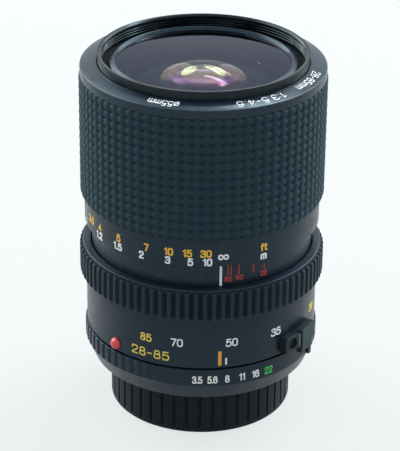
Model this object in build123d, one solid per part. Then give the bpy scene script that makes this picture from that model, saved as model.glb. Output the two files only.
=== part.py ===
from build123d import *
from math import atan2, copysign, cos, degrees, radians, sin, sqrt
import os

# A manual-focus zoom lens, standing front up on its rear cap.
# Millimetres. The lens axis is Z, Z = 0 is the table under the rear cap.
# Azimuths are in degrees from the near side (-Y), positive towards +X.

# Fits and cuts
running_gap = 0.08        # between pieces that turn or slide in each other
seam_gap = 0.1            # between neighbouring rings, along the axis
stop_gap = 0.2            # left at the end of a travel
overrun = 1.0             # how far a cut runs past its piece
full_turn = 360.0

# Rings seen from outside, inwards and outwards from the filter thread
filter_thread_radius = 27.1     # for 55 mm filters
filter_ring_wall = 1.27
name_ring_width = 4.58
focus_grip_stand = 0.3          # the focus rubber stands this far outside the name ring
focus_rubber = 1.25
scale_band_stand = 0.1          # the distance band stands this far outside the focus tube
sleeve_step = 1.84              # the index sleeve stands this far inside the scale band
zoom_rib_stand = 0.37           # the zoom ribs stand this far outside the focus rubber
zoom_rim_inset = 0.84
zoom_rubber = 1.42
barrel_inset = 0.25             # the barrel lies this far inside the distance band
aperture_scale_stand = 0.1      # the aperture ring's numbers stand this far outside the barrel
aperture_groove_depth = 0.4
aperture_cone = 1.89            # the foot narrows by this much
cap_inset = 4.83
filter_ring_radius = filter_thread_radius + filter_ring_wall
front_rim_radius = filter_ring_radius + name_ring_width
focus_grip_radius = front_rim_radius + focus_grip_stand
focus_tube_radius = focus_grip_radius - focus_rubber
scale_band_radius = focus_tube_radius + scale_band_stand
zoom_rib_radius = focus_grip_radius + zoom_rib_stand
zoom_rim_radius = zoom_rib_radius - zoom_rim_inset
zoom_body_radius = zoom_rib_radius - zoom_rubber
barrel_radius = scale_band_radius - barrel_inset
aperture_scale_radius = barrel_radius + aperture_scale_stand
aperture_grip_radius = aperture_scale_radius + aperture_groove_depth
aperture_foot_radius = aperture_scale_radius - aperture_cone
cap_radius = aperture_foot_radius - cap_inset

# The same rings, by length along the axis, from the table up
cap_height = 16.1
aperture_foot_overhang = 1.63   # the aperture ring hangs below the cap's rim
aperture_foot_length = 4.58
aperture_band_length = 4.92
aperture_top_gap = 0.6
barrel_band_length = 5.03
zoom_skirt_length = 9.92
zoom_grip_length = 8.89
sleeve_show_length = 6.76
scale_band_length = 7.69
focus_grip_length = 34.25
front_rim_length = 2.33
name_ring_rise = 0.32
filter_ring_stand = 2.98

# Travel of the controls
zoom_wide_angle = 65.0    # back from rest to the shortest focal length
zoom_tele_angle = 38.3    # on from rest to the longest
front_zoom_rate = 4.45    # travel per radian of the zoom ring
rear_zoom_rate = 7.6
focus_angle = 127.5       # from far to near
focus_rate = 2.79         # travel per radian of the focus ring
aperture_open_angle = 14.8
aperture_close_angle = 22.2
macro_travel = 2.0

front_zoom_down = front_zoom_rate * radians(zoom_wide_angle)
front_zoom_up = front_zoom_rate * radians(zoom_tele_angle)
rear_zoom_down = rear_zoom_rate * radians(zoom_wide_angle)
rear_zoom_up = rear_zoom_rate * radians(zoom_tele_angle)
focus_travel = focus_rate * radians(focus_angle)

# Levels of the seams
flange_thickness = 1.8
flange_z = cap_height + seam_gap
stub_z = flange_z + flange_thickness
aperture_foot_z = cap_height - aperture_foot_overhang
aperture_edge_z = aperture_foot_z + aperture_foot_length
aperture_top_z = aperture_edge_z + aperture_band_length
barrel_z = aperture_top_z + aperture_top_gap
barrel_top_z = barrel_z + barrel_band_length
zoom_z = barrel_top_z + seam_gap
zoom_grip_z = zoom_z + zoom_skirt_length
zoom_top_z = zoom_grip_z + zoom_grip_length
sleeve_step_z = zoom_top_z + sleeve_show_length
band_z = sleeve_step_z + seam_gap
focus_grip_z = band_z + scale_band_length
focus_top_z = focus_grip_z + focus_grip_length
front_rim_z = focus_top_z + seam_gap
front_rim_top_z = front_rim_z + front_rim_length
name_inner_z = front_rim_top_z + name_ring_rise
filter_top_z = name_inner_z + filter_ring_stand

# Fixed barrel and the tubes nested in it
zoom_skirt_wall = 2.21
land_length = 6.2         # bearing of the zoom ring on the barrel
guide_tube_inset = 3.65   # inside the barrel's outer band
guide_tube_wall = 0.9
cam_tube_wall = 1.12
carriage_wall = 0.92
stub_wall = 2.0
guide_tube_radius = barrel_radius - guide_tube_inset
zoom_skirt_bore = barrel_radius - zoom_skirt_wall
land_radius = zoom_skirt_bore - running_gap
land_top_z = barrel_top_z + land_length
guide_bore = guide_tube_radius - guide_tube_wall
cam_radius = guide_bore - running_gap
cam_bore = cam_radius - cam_tube_wall
carriage_radius = cam_bore - running_gap
carriage_bore = carriage_radius - carriage_wall
stub_radius = carriage_radius + running_gap + stub_wall + 4 * running_gap
stub_bore = stub_radius - stub_wall
cam_seat_z = aperture_top_z
cam_z = cam_seat_z + running_gap

# Rollers that the cam tube drives along the barrel's straight slots
roller_count = 3
roller_azimuth = 120.0
roller_radius = 1.5
roller_slot_play = 0.12
roller_edge = 1.2         # metal left beyond a roller or slot
roller_root = 0.2         # how deep a roller sits in its carriage
cam_slot_steps = 10

# Front carriage: carries the index sleeve and the focusing unit
web_rise = 3.38
web_thickness = 1.2
focus_tube_wall = 1.0
focus_web = 1.2
helicoid_inset = 7.32     # its end lies this far below the focus ring's
helicoid_wall = 1.0
helicoid_flange = 1.1
sleeve_radius = scale_band_radius - sleeve_step
sleeve_skirt_gap = 0.25
band_wall = 2.39
band_bore = scale_band_radius - band_wall
sleeve_top_radius = band_bore - running_gap
helicoid_radius = guide_tube_radius + 0.5 * (sleeve_top_radius - guide_tube_radius)
web_z = sleeve_step_z + web_rise
guide_top_z = web_z - front_zoom_down - 2 * stop_gap
cam_top_z = guide_top_z - running_gap
slot_half = roller_radius + roller_slot_play
front_roller_z = cam_top_z - roller_edge - slot_half - front_zoom_up
rear_roller_z = cam_z + roller_edge + slot_half + rear_zoom_down

# Zoom ring
zoom_rib_count = 87
zoom_rib_share = 0.52
zoom_rib_depth = 0.85
zoom_floor = 1.1
sleeve_room = 0.35
zoom_rim_height = 0.75
zoom_rim_chamfer = 0.3
zoom_cavity_bore = sleeve_radius + sleeve_room
cavity_floor_z = zoom_grip_z + zoom_floor
sleeve_shoulder_z = cavity_floor_z + front_zoom_down + stop_gap
sleeve_bottom_z = land_top_z + front_zoom_down + stop_gap
key_width = 3.0
key_height = 1.8
key_azimuth = 185.5
key_rise_share = 0.55     # place of the key along the barrel's bearing
key_z = barrel_top_z + key_rise_share * land_length

# Focus grip
grip_rows = 14
grip_groove_depth = 0.7
grip_land_share = 0.5
drive_key_count = 2
drive_key_width = 3.0
drive_key_length = 6.0
drive_key_depth = 1.1
drive_key_azimuth = 90.0
drive_key_share = 0.5     # place of the keys along the grip

# Front barrel, filter ring and front cell
front_barrel_tail = 0.6   # above the helicoid's flange at rest
front_plate_thickness = 1.5
name_ring_skirt = 0.55
name_ring_gap = 0.08
name_ring_chamfer = 0.3
thread_depth = 0.45
thread_stand = 0.06       # the thread ends this far above the retaining ring
bowl_ledge_width = 1.9
retaining_slope_width = 1.43
retaining_drop = 0.6
retaining_stand = 0.97    # the retaining ring's lip above the name ring's inner edge
retaining_lip_width = 0.59
glass_1_depth = 0.9       # the glass edge below the lip
glass_1_hold = 1.02       # how far the lip reaches over the glass
glass_1_thickness = 2.2
glass_1_front_share = 16.5      # curves and reach by the glass's radius
glass_1_back_share = 1.3223
glass_1_reach_share = 0.7934
front_cell_wall = 3.05
front_glass_share = 0.5372      # of the first glass's radius
front_ledge = 1.6
front_ledge_width = 1.2
front_cone_width = 4.2    # the cone round the domed second glass
front_cone_depth = 0.7
front_body_wall = 2.6
cell_play = 0.03
nut_thickness = 1.2
spacer_width = 1.4

# Rear carriage, its two cells and the iris between them
rear_tube_reach = 5.4
rear_web = 2.0
rear_web_play = 0.2
upper_glass_share = 0.7967      # glass radii by the iris housing's
upper_cell_wall = 1.95
upper_glass_rise = 23.6   # the upper cell's first glass above the iris housing
lower_glass_share = 0.6593
lower_cell_wall = 2.4
lower_seat = 1.0
lower_seat_width = 1.5
iris_wall = 0.9
iris_floor = 0.8
iris_height = 3.4
iris_roof = 1.0
iris_open_share = 0.5385        # iris sizes by the housing's radius
blade_count = 6
blade_width_share = 0.2418
blade_ear = 1.3
blade_thickness = 0.2
blade_pitch = 0.3
blade_pivot_share = 0.8242
blade_pin_radius = 0.5
blade_pin_play = 0.06
blade_span_angle = 100.0
blade_tail_angle = 6.0
blade_ratio = 0.84        # blade swing for each turn of the aperture ring
drive_ring_thickness = 0.35
drive_ring_gap = 0.15
drive_ring_share = 0.6923
rod_radius = 0.7
rod_stand = 1.1           # the rod's circle outside the iris housing
rod_throat_gap = 0.6      # between the rod and the bayonet's throat
rod_azimuth = 130.0
rod_arm_width = 2.4
link_width = 3.4
link_thickness = 1.3
link_rise = 0.35
link_play = 0.15
rod_spare = 0.5

# Aperture ring
aperture_groove_angle = 5.0
aperture_groove_width = 1.05
aperture_smooth_first_angle = -19.0
aperture_smooth_last_angle = 62.0
aperture_chamfer = 0.35
aperture_lip = 0.35
click_ball_radius = 0.6
click_azimuth = -120.0
click_spring_wire = 0.08
click_spring_turns = 2

# Bayonet mount and rear cap
throat_wall = 1.3
bayonet_lug_height = 1.4
bayonet_depth = 4.0
lug_play = 0.43           # between the lugs and the rear cap
lug_thickness = 1.5
lug_count = 3
lug_angle = 50.0
lug_gap = 0.4
cap_wall = 1.5
cap_floor = 2.0
cap_lug_play = 0.2
cap_lug_thickness = 1.4
cap_groove_count = 45
cap_groove_width = 0.75
cap_groove_depth = 0.5
cap_chamfer = 0.6
mount_screw_count = 5
mount_screw_azimuth = 20.0
mount_screw_radius = 0.85
mount_screw_head = 1.35
mount_screw_head_height = 0.8
mount_screw_length = 5.0
screw_slot = 0.35

# Index bead and macro switch on the barrel
bead_radius = 1.55
bead_azimuth = -45.85
bead_rise_share = 0.375
bead_depth = 0.85
bead_dome = 1.3
macro_split = 53.4        # azimuth of the joint, degrees
macro_dish_angle = 10.4
macro_button_angle = 10.4
macro_end_angle = 3.6
macro_stand = 2.05        # the block stands this far outside the barrel
macro_rise_share = 0.04
macro_top_gap = 0.1
macro_corner = 0.5
macro_step = 1.3
macro_seat = 1.8
macro_button_stand = 0.6
macro_button_gap = 0.12
macro_button_drop = 1.65
macro_button_over = 0.3
macro_stem_width = 1.6
macro_stem_height = 1.5
macro_stem_depth = 0.6
macro_tooth_drop = 2.4
macro_tooth_angle = 2.4
macro_screw_radius = 1.05
macro_screw_depth = 1.2


def azimuth(angle):
    """Turn about the lens axis that brings +X to an azimuth."""
    return Rot(0, 0, angle - 90)


def turned(outline):
    """Solid turned about the lens axis from its (radius, height) corners."""
    profile = Plane.XZ * make_face(Polyline(*outline, close=True))
    return revolve(profile, Axis.Z)


def ring(bore, radius, bottom, top):
    """Plain ring."""
    return turned([(bore, bottom), (radius, bottom), (radius, top), (bore, top)])


def sector(bore, radius, bottom, top, first, last):
    """Part of a plain ring, between two azimuths."""
    profile = Plane.XZ * make_face(
        Polyline((bore, bottom), (radius, bottom), (radius, top), (bore, top), close=True))
    return azimuth(first) * revolve(profile, Axis.Z, last - first)


def radial_pin(radius, inner, outer, height, angle):
    """Round pin that points away from the lens axis."""
    pin = Rot(0, 90, 0) * Cylinder(radius, outer - inner, align=(Align.CENTER, Align.CENTER, Align.MIN))
    return azimuth(angle) * Pos(inner, 0, height) * pin


def radial_block(width, height, inner, outer, middle, angle, side=0.0):
    """Block whose faces look along an azimuth, centred on a height."""
    block = Box(outer - inner, width, height, align=(Align.MIN, Align.CENTER, Align.CENTER))
    return azimuth(angle) * Pos(inner, side, middle) * block


def upright(radius, bottom, top, circle, angle):
    """Round pin along the lens axis, on a circle about it."""
    pin = Cylinder(radius, top - bottom, align=(Align.CENTER, Align.CENTER, Align.MIN))
    return azimuth(angle) * Pos(circle, 0, bottom) * pin


def around(count, first=0.0):
    """Azimuths of a number of places evenly round the axis."""
    return [first + full_turn * place / count for place in range(count)]


def sag(curve, reach):
    """Drop of a spherical surface from its middle to a reach; a negative curve rises."""
    return curve - copysign(sqrt(curve * curve - reach * reach), curve)


def surface(curve, vertex, reach):
    """Arc of a glass surface from the lens axis outwards."""
    half = 0.5 * reach
    return ThreePointArc(
        (0, vertex), (half, vertex - sag(curve, half)), (reach, vertex - sag(curve, reach)))


def glass(radius, vertex, thickness, front_curve, back_curve, back_reach=None):
    """One lens element, with its back vertex."""
    reach = radius if back_reach is None else back_reach
    back = vertex - thickness
    rim_top = vertex - sag(front_curve, radius)
    rim_bottom = back - sag(back_curve, reach)
    edges = [surface(front_curve, vertex, radius), surface(back_curve, back, reach)]
    edges.append(Line((radius, rim_top), (radius, rim_bottom)))
    if back_reach is not None:
        edges.append(Line((radius, rim_bottom), (reach, rim_bottom)))
    edges.append(Line((0, back), (0, vertex)))
    return revolve(Plane.XZ * make_face(edges), Axis.Z), back


def glass_stack(radius, vertex, shares):
    """Elements one behind the other, the rings that space them, and the stack's top and bottom seats."""
    elements = []
    spacers = []
    inner = radius - spacer_width
    top = None
    seat = None
    for thickness, front_curve, back_curve, gap in shares:
        element, back = glass(radius, vertex, thickness * radius, front_curve * radius, back_curve * radius)
        upper = vertex - min(sag(front_curve * radius, reach) for reach in (inner, radius))
        if seat is not None:
            spacers.append(ring(inner, radius, upper, seat))
        top = upper if top is None else top
        lower = back - max(sag(back_curve * radius, reach) for reach in (inner, radius))
        seat = lower if gap > 0 else None
        elements.append(element)
        vertex = back - gap * radius
    return elements, spacers, top, lower


# Each glass: thickness, front curve, back curve and the gap behind it
front_glass_shares = (
    (0.438, 1.077, 1.6, 0.15),
    (0.3, 1.8, 6.0, 0),
)
upper_glass_shares = (
    (0.28, 3.1, -6.2, 0.04),
    (0.41, 2.75, -4.1, 0),
    (0.10, -4.1, 5.5, 0.05),
    (0.22, 2.5, 8.3, 0),
)
lower_glass_shares = (
    (0.10, -2.9, 2.5, 0),
    (0.375, 2.5, -5.8, 0.04),
    (0.27, 5.0, -5.0, 0.07),
    (0.10, -4.2, 2.35, 0),
    (0.35, 2.35, -6.7, 0.045),
    (0.22, 5.8, -10.0, 0),
)


def helical_slot(middle_z, rate, bore, radius, angle):
    """Cutters for a slot that carries a roller along the axis as the cam tube turns."""
    half_turn = radians(zoom_wide_angle + zoom_tele_angle) / cam_slot_steps / 2
    mean_radius = 0.5 * (bore + radius)
    tilt = -degrees(atan2(rate, mean_radius))
    length = 2 * half_turn * mean_radius
    cutters = []
    for step in range(cam_slot_steps):
        turn = -radians(zoom_wide_angle) + (2 * step + 1) * half_turn
        block = Box(
            radius - bore + 2 * overrun, length / cos(radians(tilt)) + slot_half / cam_slot_steps,
            2 * slot_half)
        place = azimuth(angle - degrees(turn)) * Pos(mean_radius, 0, middle_z + rate * turn)
        cutters.append(place * Rot(tilt, 0, 0) * block)
    for end in (-zoom_wide_angle, zoom_tele_angle):
        cutters.append(radial_pin(
            slot_half, bore - overrun, radius + overrun, middle_z + rate * radians(end), angle - end))
    return cutters


def make_main_barrel():
    """Fixed barrel: outer band, bearing of the zoom ring, guide tube and rear stub."""
    body = turned([
        (stub_bore, stub_z), (stub_bore, cam_seat_z), (guide_bore, cam_seat_z), (guide_bore, guide_top_z),
        (guide_tube_radius, guide_top_z), (guide_tube_radius, land_top_z), (land_radius, land_top_z),
        (land_radius, barrel_top_z), (barrel_radius, barrel_top_z), (barrel_radius, barrel_z),
        (stub_radius, barrel_z), (stub_radius, stub_z)])
    cuts = []
    slot_bottom = rear_roller_z - rear_zoom_down
    slot_top = front_roller_z + front_zoom_up
    depth = guide_tube_radius + running_gap
    for angle in around(roller_count, roller_azimuth):
        cuts.append(radial_block(
            2 * slot_half, slot_top - slot_bottom, cam_bore, depth, 0.5 * (slot_top + slot_bottom), angle))
        cuts.append(radial_pin(slot_half, cam_bore, depth, slot_bottom, angle))
        cuts.append(radial_pin(slot_half, cam_bore, depth, slot_top, angle))
    spare = degrees((0.5 * key_width + stop_gap) / guide_bore)
    half_slot = 0.5 * key_height + running_gap
    cuts.append(sector(
        cam_bore, land_radius + overrun, key_z - half_slot, key_z + half_slot,
        key_azimuth - zoom_wide_angle - spare, key_azimuth + zoom_tele_angle + spare))
    spare = degrees((0.5 * link_width + stop_gap) / stub_bore)
    cuts.append(sector(
        stub_bore - overrun, stub_radius + overrun, stub_z - overrun, link_z + link_thickness + link_play,
        rod_azimuth - aperture_close_angle - spare, rod_azimuth + aperture_open_angle + spare))
    for angle in around(mount_screw_count, mount_screw_azimuth):
        cuts.append(upright(
            mount_screw_radius, stub_z - overrun, flange_z + mount_screw_length, screw_circle, angle))
    cuts.append(radial_pin(
        click_ball_radius + cell_play, stub_bore + click_floor, stub_radius + overrun,
        click_z, click_azimuth))
    cuts.append(radial_pin(
        bead_radius, barrel_radius - bead_depth, barrel_radius + overrun, bead_z, bead_azimuth))
    return body - cuts


def make_cam_tube():
    """Tube inside the guide tube, with a helical slot for each roller and a notch for its key."""
    body = ring(cam_bore, cam_radius, cam_z, cam_top_z)
    cuts = []
    for angle in around(roller_count, roller_azimuth):
        cuts += helical_slot(front_roller_z, front_zoom_rate, cam_bore, cam_radius, angle)
        cuts += helical_slot(rear_roller_z, rear_zoom_rate, cam_bore, cam_radius, angle)
    cuts.append(radial_block(
        key_width, key_height, cam_bore - overrun, cam_radius + overrun, key_z, key_azimuth))
    return body - cuts


def make_zoom_key():
    """Key that joins the zoom ring to the cam tube through the barrel."""
    block = radial_block(
        key_width, key_height, cam_bore, zoom_skirt_bore + overrun, key_z, key_azimuth)
    return block & ring(cam_bore, zoom_skirt_bore, zoom_z, zoom_grip_z)


def make_zoom_ring():
    """Zoom ring: skirt with the focal lengths, and the hollow that the sleeve slides in."""
    return turned([
        (zoom_skirt_bore, zoom_z), (barrel_radius, zoom_z), (barrel_radius, zoom_grip_z),
        (zoom_body_radius, zoom_grip_z), (zoom_body_radius, zoom_top_z - zoom_rim_height),
        (zoom_rim_radius, zoom_top_z - zoom_rim_height), (zoom_rim_radius, zoom_top_z - zoom_rim_chamfer),
        (zoom_rim_radius - zoom_rim_chamfer, zoom_top_z), (zoom_cavity_bore, zoom_top_z),
        (zoom_cavity_bore, cavity_floor_z), (zoom_skirt_bore, cavity_floor_z)])


def make_zoom_grip():
    """Ribbed rubber of the zoom ring."""
    corners = []
    half = 0.5 * full_turn * zoom_rib_share / zoom_rib_count
    gap = 0.5 * full_turn / zoom_rib_count
    root = zoom_rib_radius - zoom_rib_depth
    for angle in around(zoom_rib_count):
        for reach, turn in ((root, -gap), (root, -half), (zoom_rib_radius, -half), (zoom_rib_radius, half),
                            (root, half)):
            corners.append((reach * cos(radians(angle + turn)), reach * sin(radians(angle + turn))))
    bottom = Plane.XY.offset(zoom_grip_z)
    outline = bottom * (make_face(Polyline(*corners, close=True)) - Circle(zoom_body_radius))
    return extrude(outline, zoom_grip_length - zoom_rim_height)


def make_front_carriage():
    """Carriage of the focusing unit: inner tube with roller seats, web and helicoid tube."""
    tube_z = front_roller_z - roller_radius - roller_edge
    flange_bottom = focus_grip_z + focus_web + running_gap
    flange_top = flange_bottom + helicoid_flange
    body = turned([
        (carriage_bore, tube_z), (carriage_radius, tube_z), (carriage_radius, web_z),
        (helicoid_radius, web_z), (helicoid_radius, flange_bottom),
        (focus_bore - running_gap, flange_bottom),
        (focus_bore - running_gap, flange_top), (helicoid_radius, flange_top),
        (helicoid_radius, helicoid_top_z), (helicoid_bore, helicoid_top_z),
        (helicoid_bore, web_z + web_thickness), (carriage_bore, web_z + web_thickness)])
    seats = [radial_pin(roller_radius, carriage_radius - roller_root, carriage_radius + overrun,
                        front_roller_z, angle) for angle in around(roller_count, roller_azimuth)]
    return body - seats


def make_rollers(height):
    """Rollers of one carriage, running in the cam slots and the straight slots."""
    return Compound([radial_pin(
        roller_radius, carriage_radius - roller_root, guide_tube_radius - running_gap, height, angle)
        for angle in around(roller_count, roller_azimuth)])


def make_index_sleeve():
    """Sleeve with the index line, fixed to the front carriage."""
    return turned([
        (guide_tube_radius + sleeve_skirt_gap, sleeve_bottom_z),
        (zoom_skirt_bore - sleeve_skirt_gap, sleeve_bottom_z),
        (zoom_skirt_bore - sleeve_skirt_gap, sleeve_shoulder_z), (sleeve_radius, sleeve_shoulder_z),
        (sleeve_radius, sleeve_step_z), (sleeve_top_radius, sleeve_step_z),
        (sleeve_top_radius, focus_grip_z + focus_web + running_gap),
        (helicoid_radius, focus_grip_z + focus_web + running_gap), (helicoid_radius, web_z),
        (guide_tube_radius + sleeve_skirt_gap, web_z)])


def make_focus_ring():
    """Focus ring: distance band below, tube under the rubber above."""
    return turned([
        (band_bore, band_z), (scale_band_radius, band_z), (scale_band_radius, focus_grip_z),
        (focus_tube_radius, focus_grip_z), (focus_tube_radius, focus_top_z), (focus_bore, focus_top_z),
        (focus_bore, focus_grip_z + focus_web), (band_bore, focus_grip_z + focus_web)])


def make_focus_grip():
    """Rubber of the focus ring, with one ridge for each row of its pattern."""
    pitch = focus_grip_length / grip_rows
    root = focus_grip_radius - grip_groove_depth
    outline = [(focus_tube_radius, focus_grip_z)]
    for row in range(grip_rows):
        start = focus_grip_z + row * pitch
        slope = 0.25 * (1 - grip_land_share) * pitch
        outline += [
            (root, start), (root, start + slope), (focus_grip_radius, start + 2 * slope),
            (focus_grip_radius, start + pitch - 2 * slope), (root, start + pitch - slope)]
    outline += [(root, focus_top_z), (focus_tube_radius, focus_top_z)]
    return turned(outline)


def make_drive_keys():
    """Keys on the focus ring that turn the front barrel and let it slide."""
    blocks = [radial_block(drive_key_width, drive_key_length, focus_bore - drive_key_depth,
                           focus_bore + overrun, drive_key_z, angle)
              for angle in around(drive_key_count, drive_key_azimuth)]
    limit = ring(focus_bore - 2 * drive_key_depth, focus_bore, focus_grip_z, focus_top_z)
    return Compound([(block & limit).solid() for block in blocks])


def make_front_barrel():
    """Front barrel: screws on the helicoid, carries the filter ring and the front cell."""
    plate_top = front_rim_z + front_plate_thickness
    body = turned([
        (helicoid_radius + running_gap, front_tail_z), (focus_bore - running_gap, front_tail_z),
        (focus_bore - running_gap, front_rim_z), (name_skirt_bore, front_rim_z), (name_skirt_bore, plate_top),
        (front_cell_radius, plate_top), (front_cell_radius, front_rim_z),
        (helicoid_radius + running_gap, front_rim_z)])
    slot_top = drive_key_z + 0.5 * drive_key_length + stop_gap
    slot_bottom = front_tail_z - overrun
    slots = [radial_block(
        drive_key_width + 2 * link_play, slot_top - slot_bottom, focus_bore - drive_key_depth - running_gap,
        focus_bore + overrun, 0.5 * (slot_top + slot_bottom), angle)
        for angle in around(drive_key_count, drive_key_azimuth)]
    return body - slots


def make_name_ring():
    """Ring round the filter thread; its skirt hides the front barrel's plate."""
    plate_top = front_rim_z + front_plate_thickness
    bore = filter_ring_radius + name_ring_gap
    return turned([
        (name_skirt_bore, front_rim_z), (front_rim_radius, front_rim_z),
        (front_rim_radius, front_rim_top_z - name_ring_chamfer),
        (front_rim_radius - name_ring_chamfer, front_rim_top_z), (bore, name_inner_z), (bore, plate_top),
        (name_skirt_bore, plate_top)])


def make_filter_ring():
    """Ring with the filter thread, relieved below it, where a filter's skirt goes down."""
    bottom = front_rim_z + front_plate_thickness
    relief_top = retaining_z + thread_stand
    return turned([
        (filter_thread_radius + thread_depth, bottom), (filter_ring_radius, bottom),
        (filter_ring_radius, filter_top_z), (filter_thread_radius, filter_top_z),
        (filter_thread_radius, relief_top), (filter_thread_radius + thread_depth, relief_top)])


def make_front_cell():
    """Cell of the front glasses, with a coned ledge between the first and the domed second."""
    body_bottom = front_seat_z - nut_thickness
    bore = front_glass_radius + cell_play
    shoulder_z = glass_1_bottom - front_ledge
    return turned([
        (bore, body_bottom), (bore + front_body_wall, body_bottom), (bore + front_body_wall, shoulder_z),
        (front_cell_radius, shoulder_z), (front_cell_radius, front_rim_z + front_plate_thickness),
        (glass_1_radius + cell_play, front_rim_z + front_plate_thickness),
        (glass_1_radius + cell_play, glass_1_bottom), (front_lip_radius + front_cone_width, glass_1_bottom),
        (front_lip_radius, glass_1_bottom - front_cone_depth), (front_lip_radius, shoulder_z),
        (bore, shoulder_z)])


def make_front_retaining_ring():
    """Lipped ring that holds the first glass."""
    seat = front_rim_z + front_plate_thickness
    return turned([
        (bowl_ledge_radius, seat), (bowl_ledge_radius, retaining_z - retaining_drop),
        (retaining_top_radius, retaining_z), (glass_1_show_radius, retaining_z - glass_1_depth),
        (glass_1_radius, retaining_z - glass_1_depth), (glass_1_radius + cell_play, seat)])


def make_rear_carriage():
    """Carriage of the rear glasses: tube with roller seats, and a web for the cells."""
    body = turned([
        (carriage_bore, rear_tube_z), (carriage_radius, rear_tube_z), (carriage_radius, rear_top_z),
        (rear_web_bore, rear_top_z), (rear_web_bore, rear_top_z - rear_web),
        (carriage_bore, rear_top_z - rear_web)])
    cuts = [radial_pin(roller_radius, carriage_radius - roller_root, carriage_radius + overrun,
                       rear_roller_z, angle) for angle in around(roller_count, roller_azimuth)]
    spare = degrees((rod_radius + link_play) / rod_circle)
    cuts.append(sector(
        rod_circle - rod_radius - link_play, rod_circle + rod_radius + link_play,
        rear_top_z - rear_web - overrun, rear_top_z + overrun, rod_azimuth - aperture_close_angle - spare,
        rod_azimuth + aperture_open_angle + spare))
    return body - cuts


def make_iris_housing():
    """Housing of the iris, with a pivot pin for each blade."""
    top = rear_top_z + iris_height
    body = turned([
        (iris_open_radius, rear_top_z), (iris_housing_radius, rear_top_z), (iris_housing_radius, top),
        (iris_housing_radius - iris_wall, top), (iris_housing_radius - iris_wall, rear_top_z + iris_floor),
        (iris_open_radius, rear_top_z + iris_floor)])
    spare = degrees((0.5 * rod_arm_width + link_play) / iris_housing_radius)
    body -= sector(
        iris_housing_radius - iris_wall - overrun, iris_housing_radius + overrun, drive_ring_z - link_play,
        top + overrun, rod_azimuth - aperture_close_angle - spare, rod_azimuth + aperture_open_angle + spare)
    pins = [upright(blade_pin_radius, rear_top_z, drive_ring_z - drive_ring_gap, blade_pivot_radius, angle)
            for angle in around(blade_count)]
    return body + pins


def make_blade(place):
    """One iris blade at rest: a curved leaf swung in from the open position."""
    bottom = rear_top_z + iris_floor + blade_pitch * place + 0.5 * (blade_pitch - blade_thickness)
    angle = full_turn * place / blade_count
    inner = iris_open_radius
    leaf = sector(inner, inner + blade_width, bottom, bottom + blade_thickness, angle - blade_tail_angle,
                  angle - blade_tail_angle + blade_span_angle)
    leaf += upright(blade_ear, bottom, bottom + blade_thickness, blade_pivot_radius, angle)
    leaf -= upright(blade_pin_radius + blade_pin_play, bottom - overrun, bottom + overrun,
                    blade_pivot_radius, angle)
    pivot = azimuth(angle) * Pos(blade_pivot_radius, 0, 0)
    swing = Rot(0, 0, aperture_open_angle * blade_ratio)
    return pivot * swing * pivot.inverse() * leaf


def make_drive_ring():
    """Ring above the blades that opens and closes them, with an arm for its rod."""
    body = ring(drive_ring_bore, iris_housing_radius - iris_wall - drive_ring_gap, drive_ring_z,
                drive_ring_z + drive_ring_thickness)
    arm = radial_block(
        rod_arm_width, drive_ring_thickness, drive_ring_bore + blade_pin_radius,
        rod_circle + 0.5 * rod_arm_width, drive_ring_z + 0.5 * drive_ring_thickness, rod_azimuth)
    slots = [radial_block(2 * blade_pin_radius, blade_thickness + overrun, drive_ring_bore + blade_pin_radius,
                          blade_pivot_radius + 2 * blade_pin_radius,
                          drive_ring_z + 0.5 * drive_ring_thickness, angle)
             for angle in around(blade_count, 0.5 * full_turn / blade_count)]
    return body + arm - slots


def make_upper_cell():
    """Cell above the iris."""
    seat = upper_seat_z
    bottom = rear_top_z + iris_height
    wall_radius = upper_glass_radius + upper_cell_wall
    bore = upper_glass_radius + cell_play
    return turned([
        (upper_glass_radius - lower_seat_width, bottom), (iris_housing_radius, bottom),
        (iris_housing_radius, bottom + iris_roof), (wall_radius, bottom + iris_roof),
        (wall_radius, upper_top_z + nut_thickness), (bore, upper_top_z + nut_thickness),
        (bore, seat), (upper_glass_radius - lower_seat_width, seat)])


def make_lower_cell():
    """Cell below the iris, hanging in the bayonet's throat."""
    bottom = lower_seat_z - nut_thickness
    bore = lower_glass_radius + cell_play
    wall_radius = lower_glass_radius + lower_cell_wall
    return turned([
        (bore, bottom), (wall_radius, bottom), (wall_radius, rear_top_z - rear_web),
        (wall_radius, rear_top_z), (lower_glass_radius - lower_seat_width, rear_top_z),
        (lower_glass_radius - lower_seat_width, lower_top_z), (bore, lower_top_z)])


def cell_nut(radius, top):
    """Threaded ring that closes a cell."""
    return ring(radius - spacer_width, radius, top - nut_thickness, top)


def make_aperture_ring():
    """Aperture ring: grooved grip, smooth part for the numbers, foot over the bayonet flange."""
    body = turned([
        (aperture_bore, stub_z + running_gap), (flange_radius + seam_gap, stub_z + running_gap),
        (flange_radius + seam_gap, aperture_foot_z), (aperture_foot_radius, aperture_foot_z),
        (aperture_scale_radius, aperture_edge_z), (aperture_grip_radius, aperture_edge_z),
        (aperture_grip_radius, aperture_top_z - aperture_chamfer),
        (aperture_grip_radius - aperture_chamfer, aperture_top_z), (aperture_bore, aperture_top_z)])
    cuts = [sector(
        aperture_scale_radius, aperture_grip_radius + overrun, aperture_edge_z - overrun,
        aperture_top_z + overrun, aperture_smooth_first_angle, aperture_smooth_last_angle)]
    grip_turn = full_turn - (aperture_smooth_last_angle - aperture_smooth_first_angle)
    grooves = int(grip_turn / aperture_groove_angle)
    for place in range(1, grooves):
        angle = aperture_smooth_last_angle + place * grip_turn / grooves
        cuts.append(radial_block(
            aperture_groove_width, aperture_top_z - aperture_edge_z + 2 * overrun, aperture_scale_radius,
            aperture_grip_radius + overrun, 0.5 * (aperture_top_z + aperture_edge_z), angle))
    return body - cuts


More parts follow.
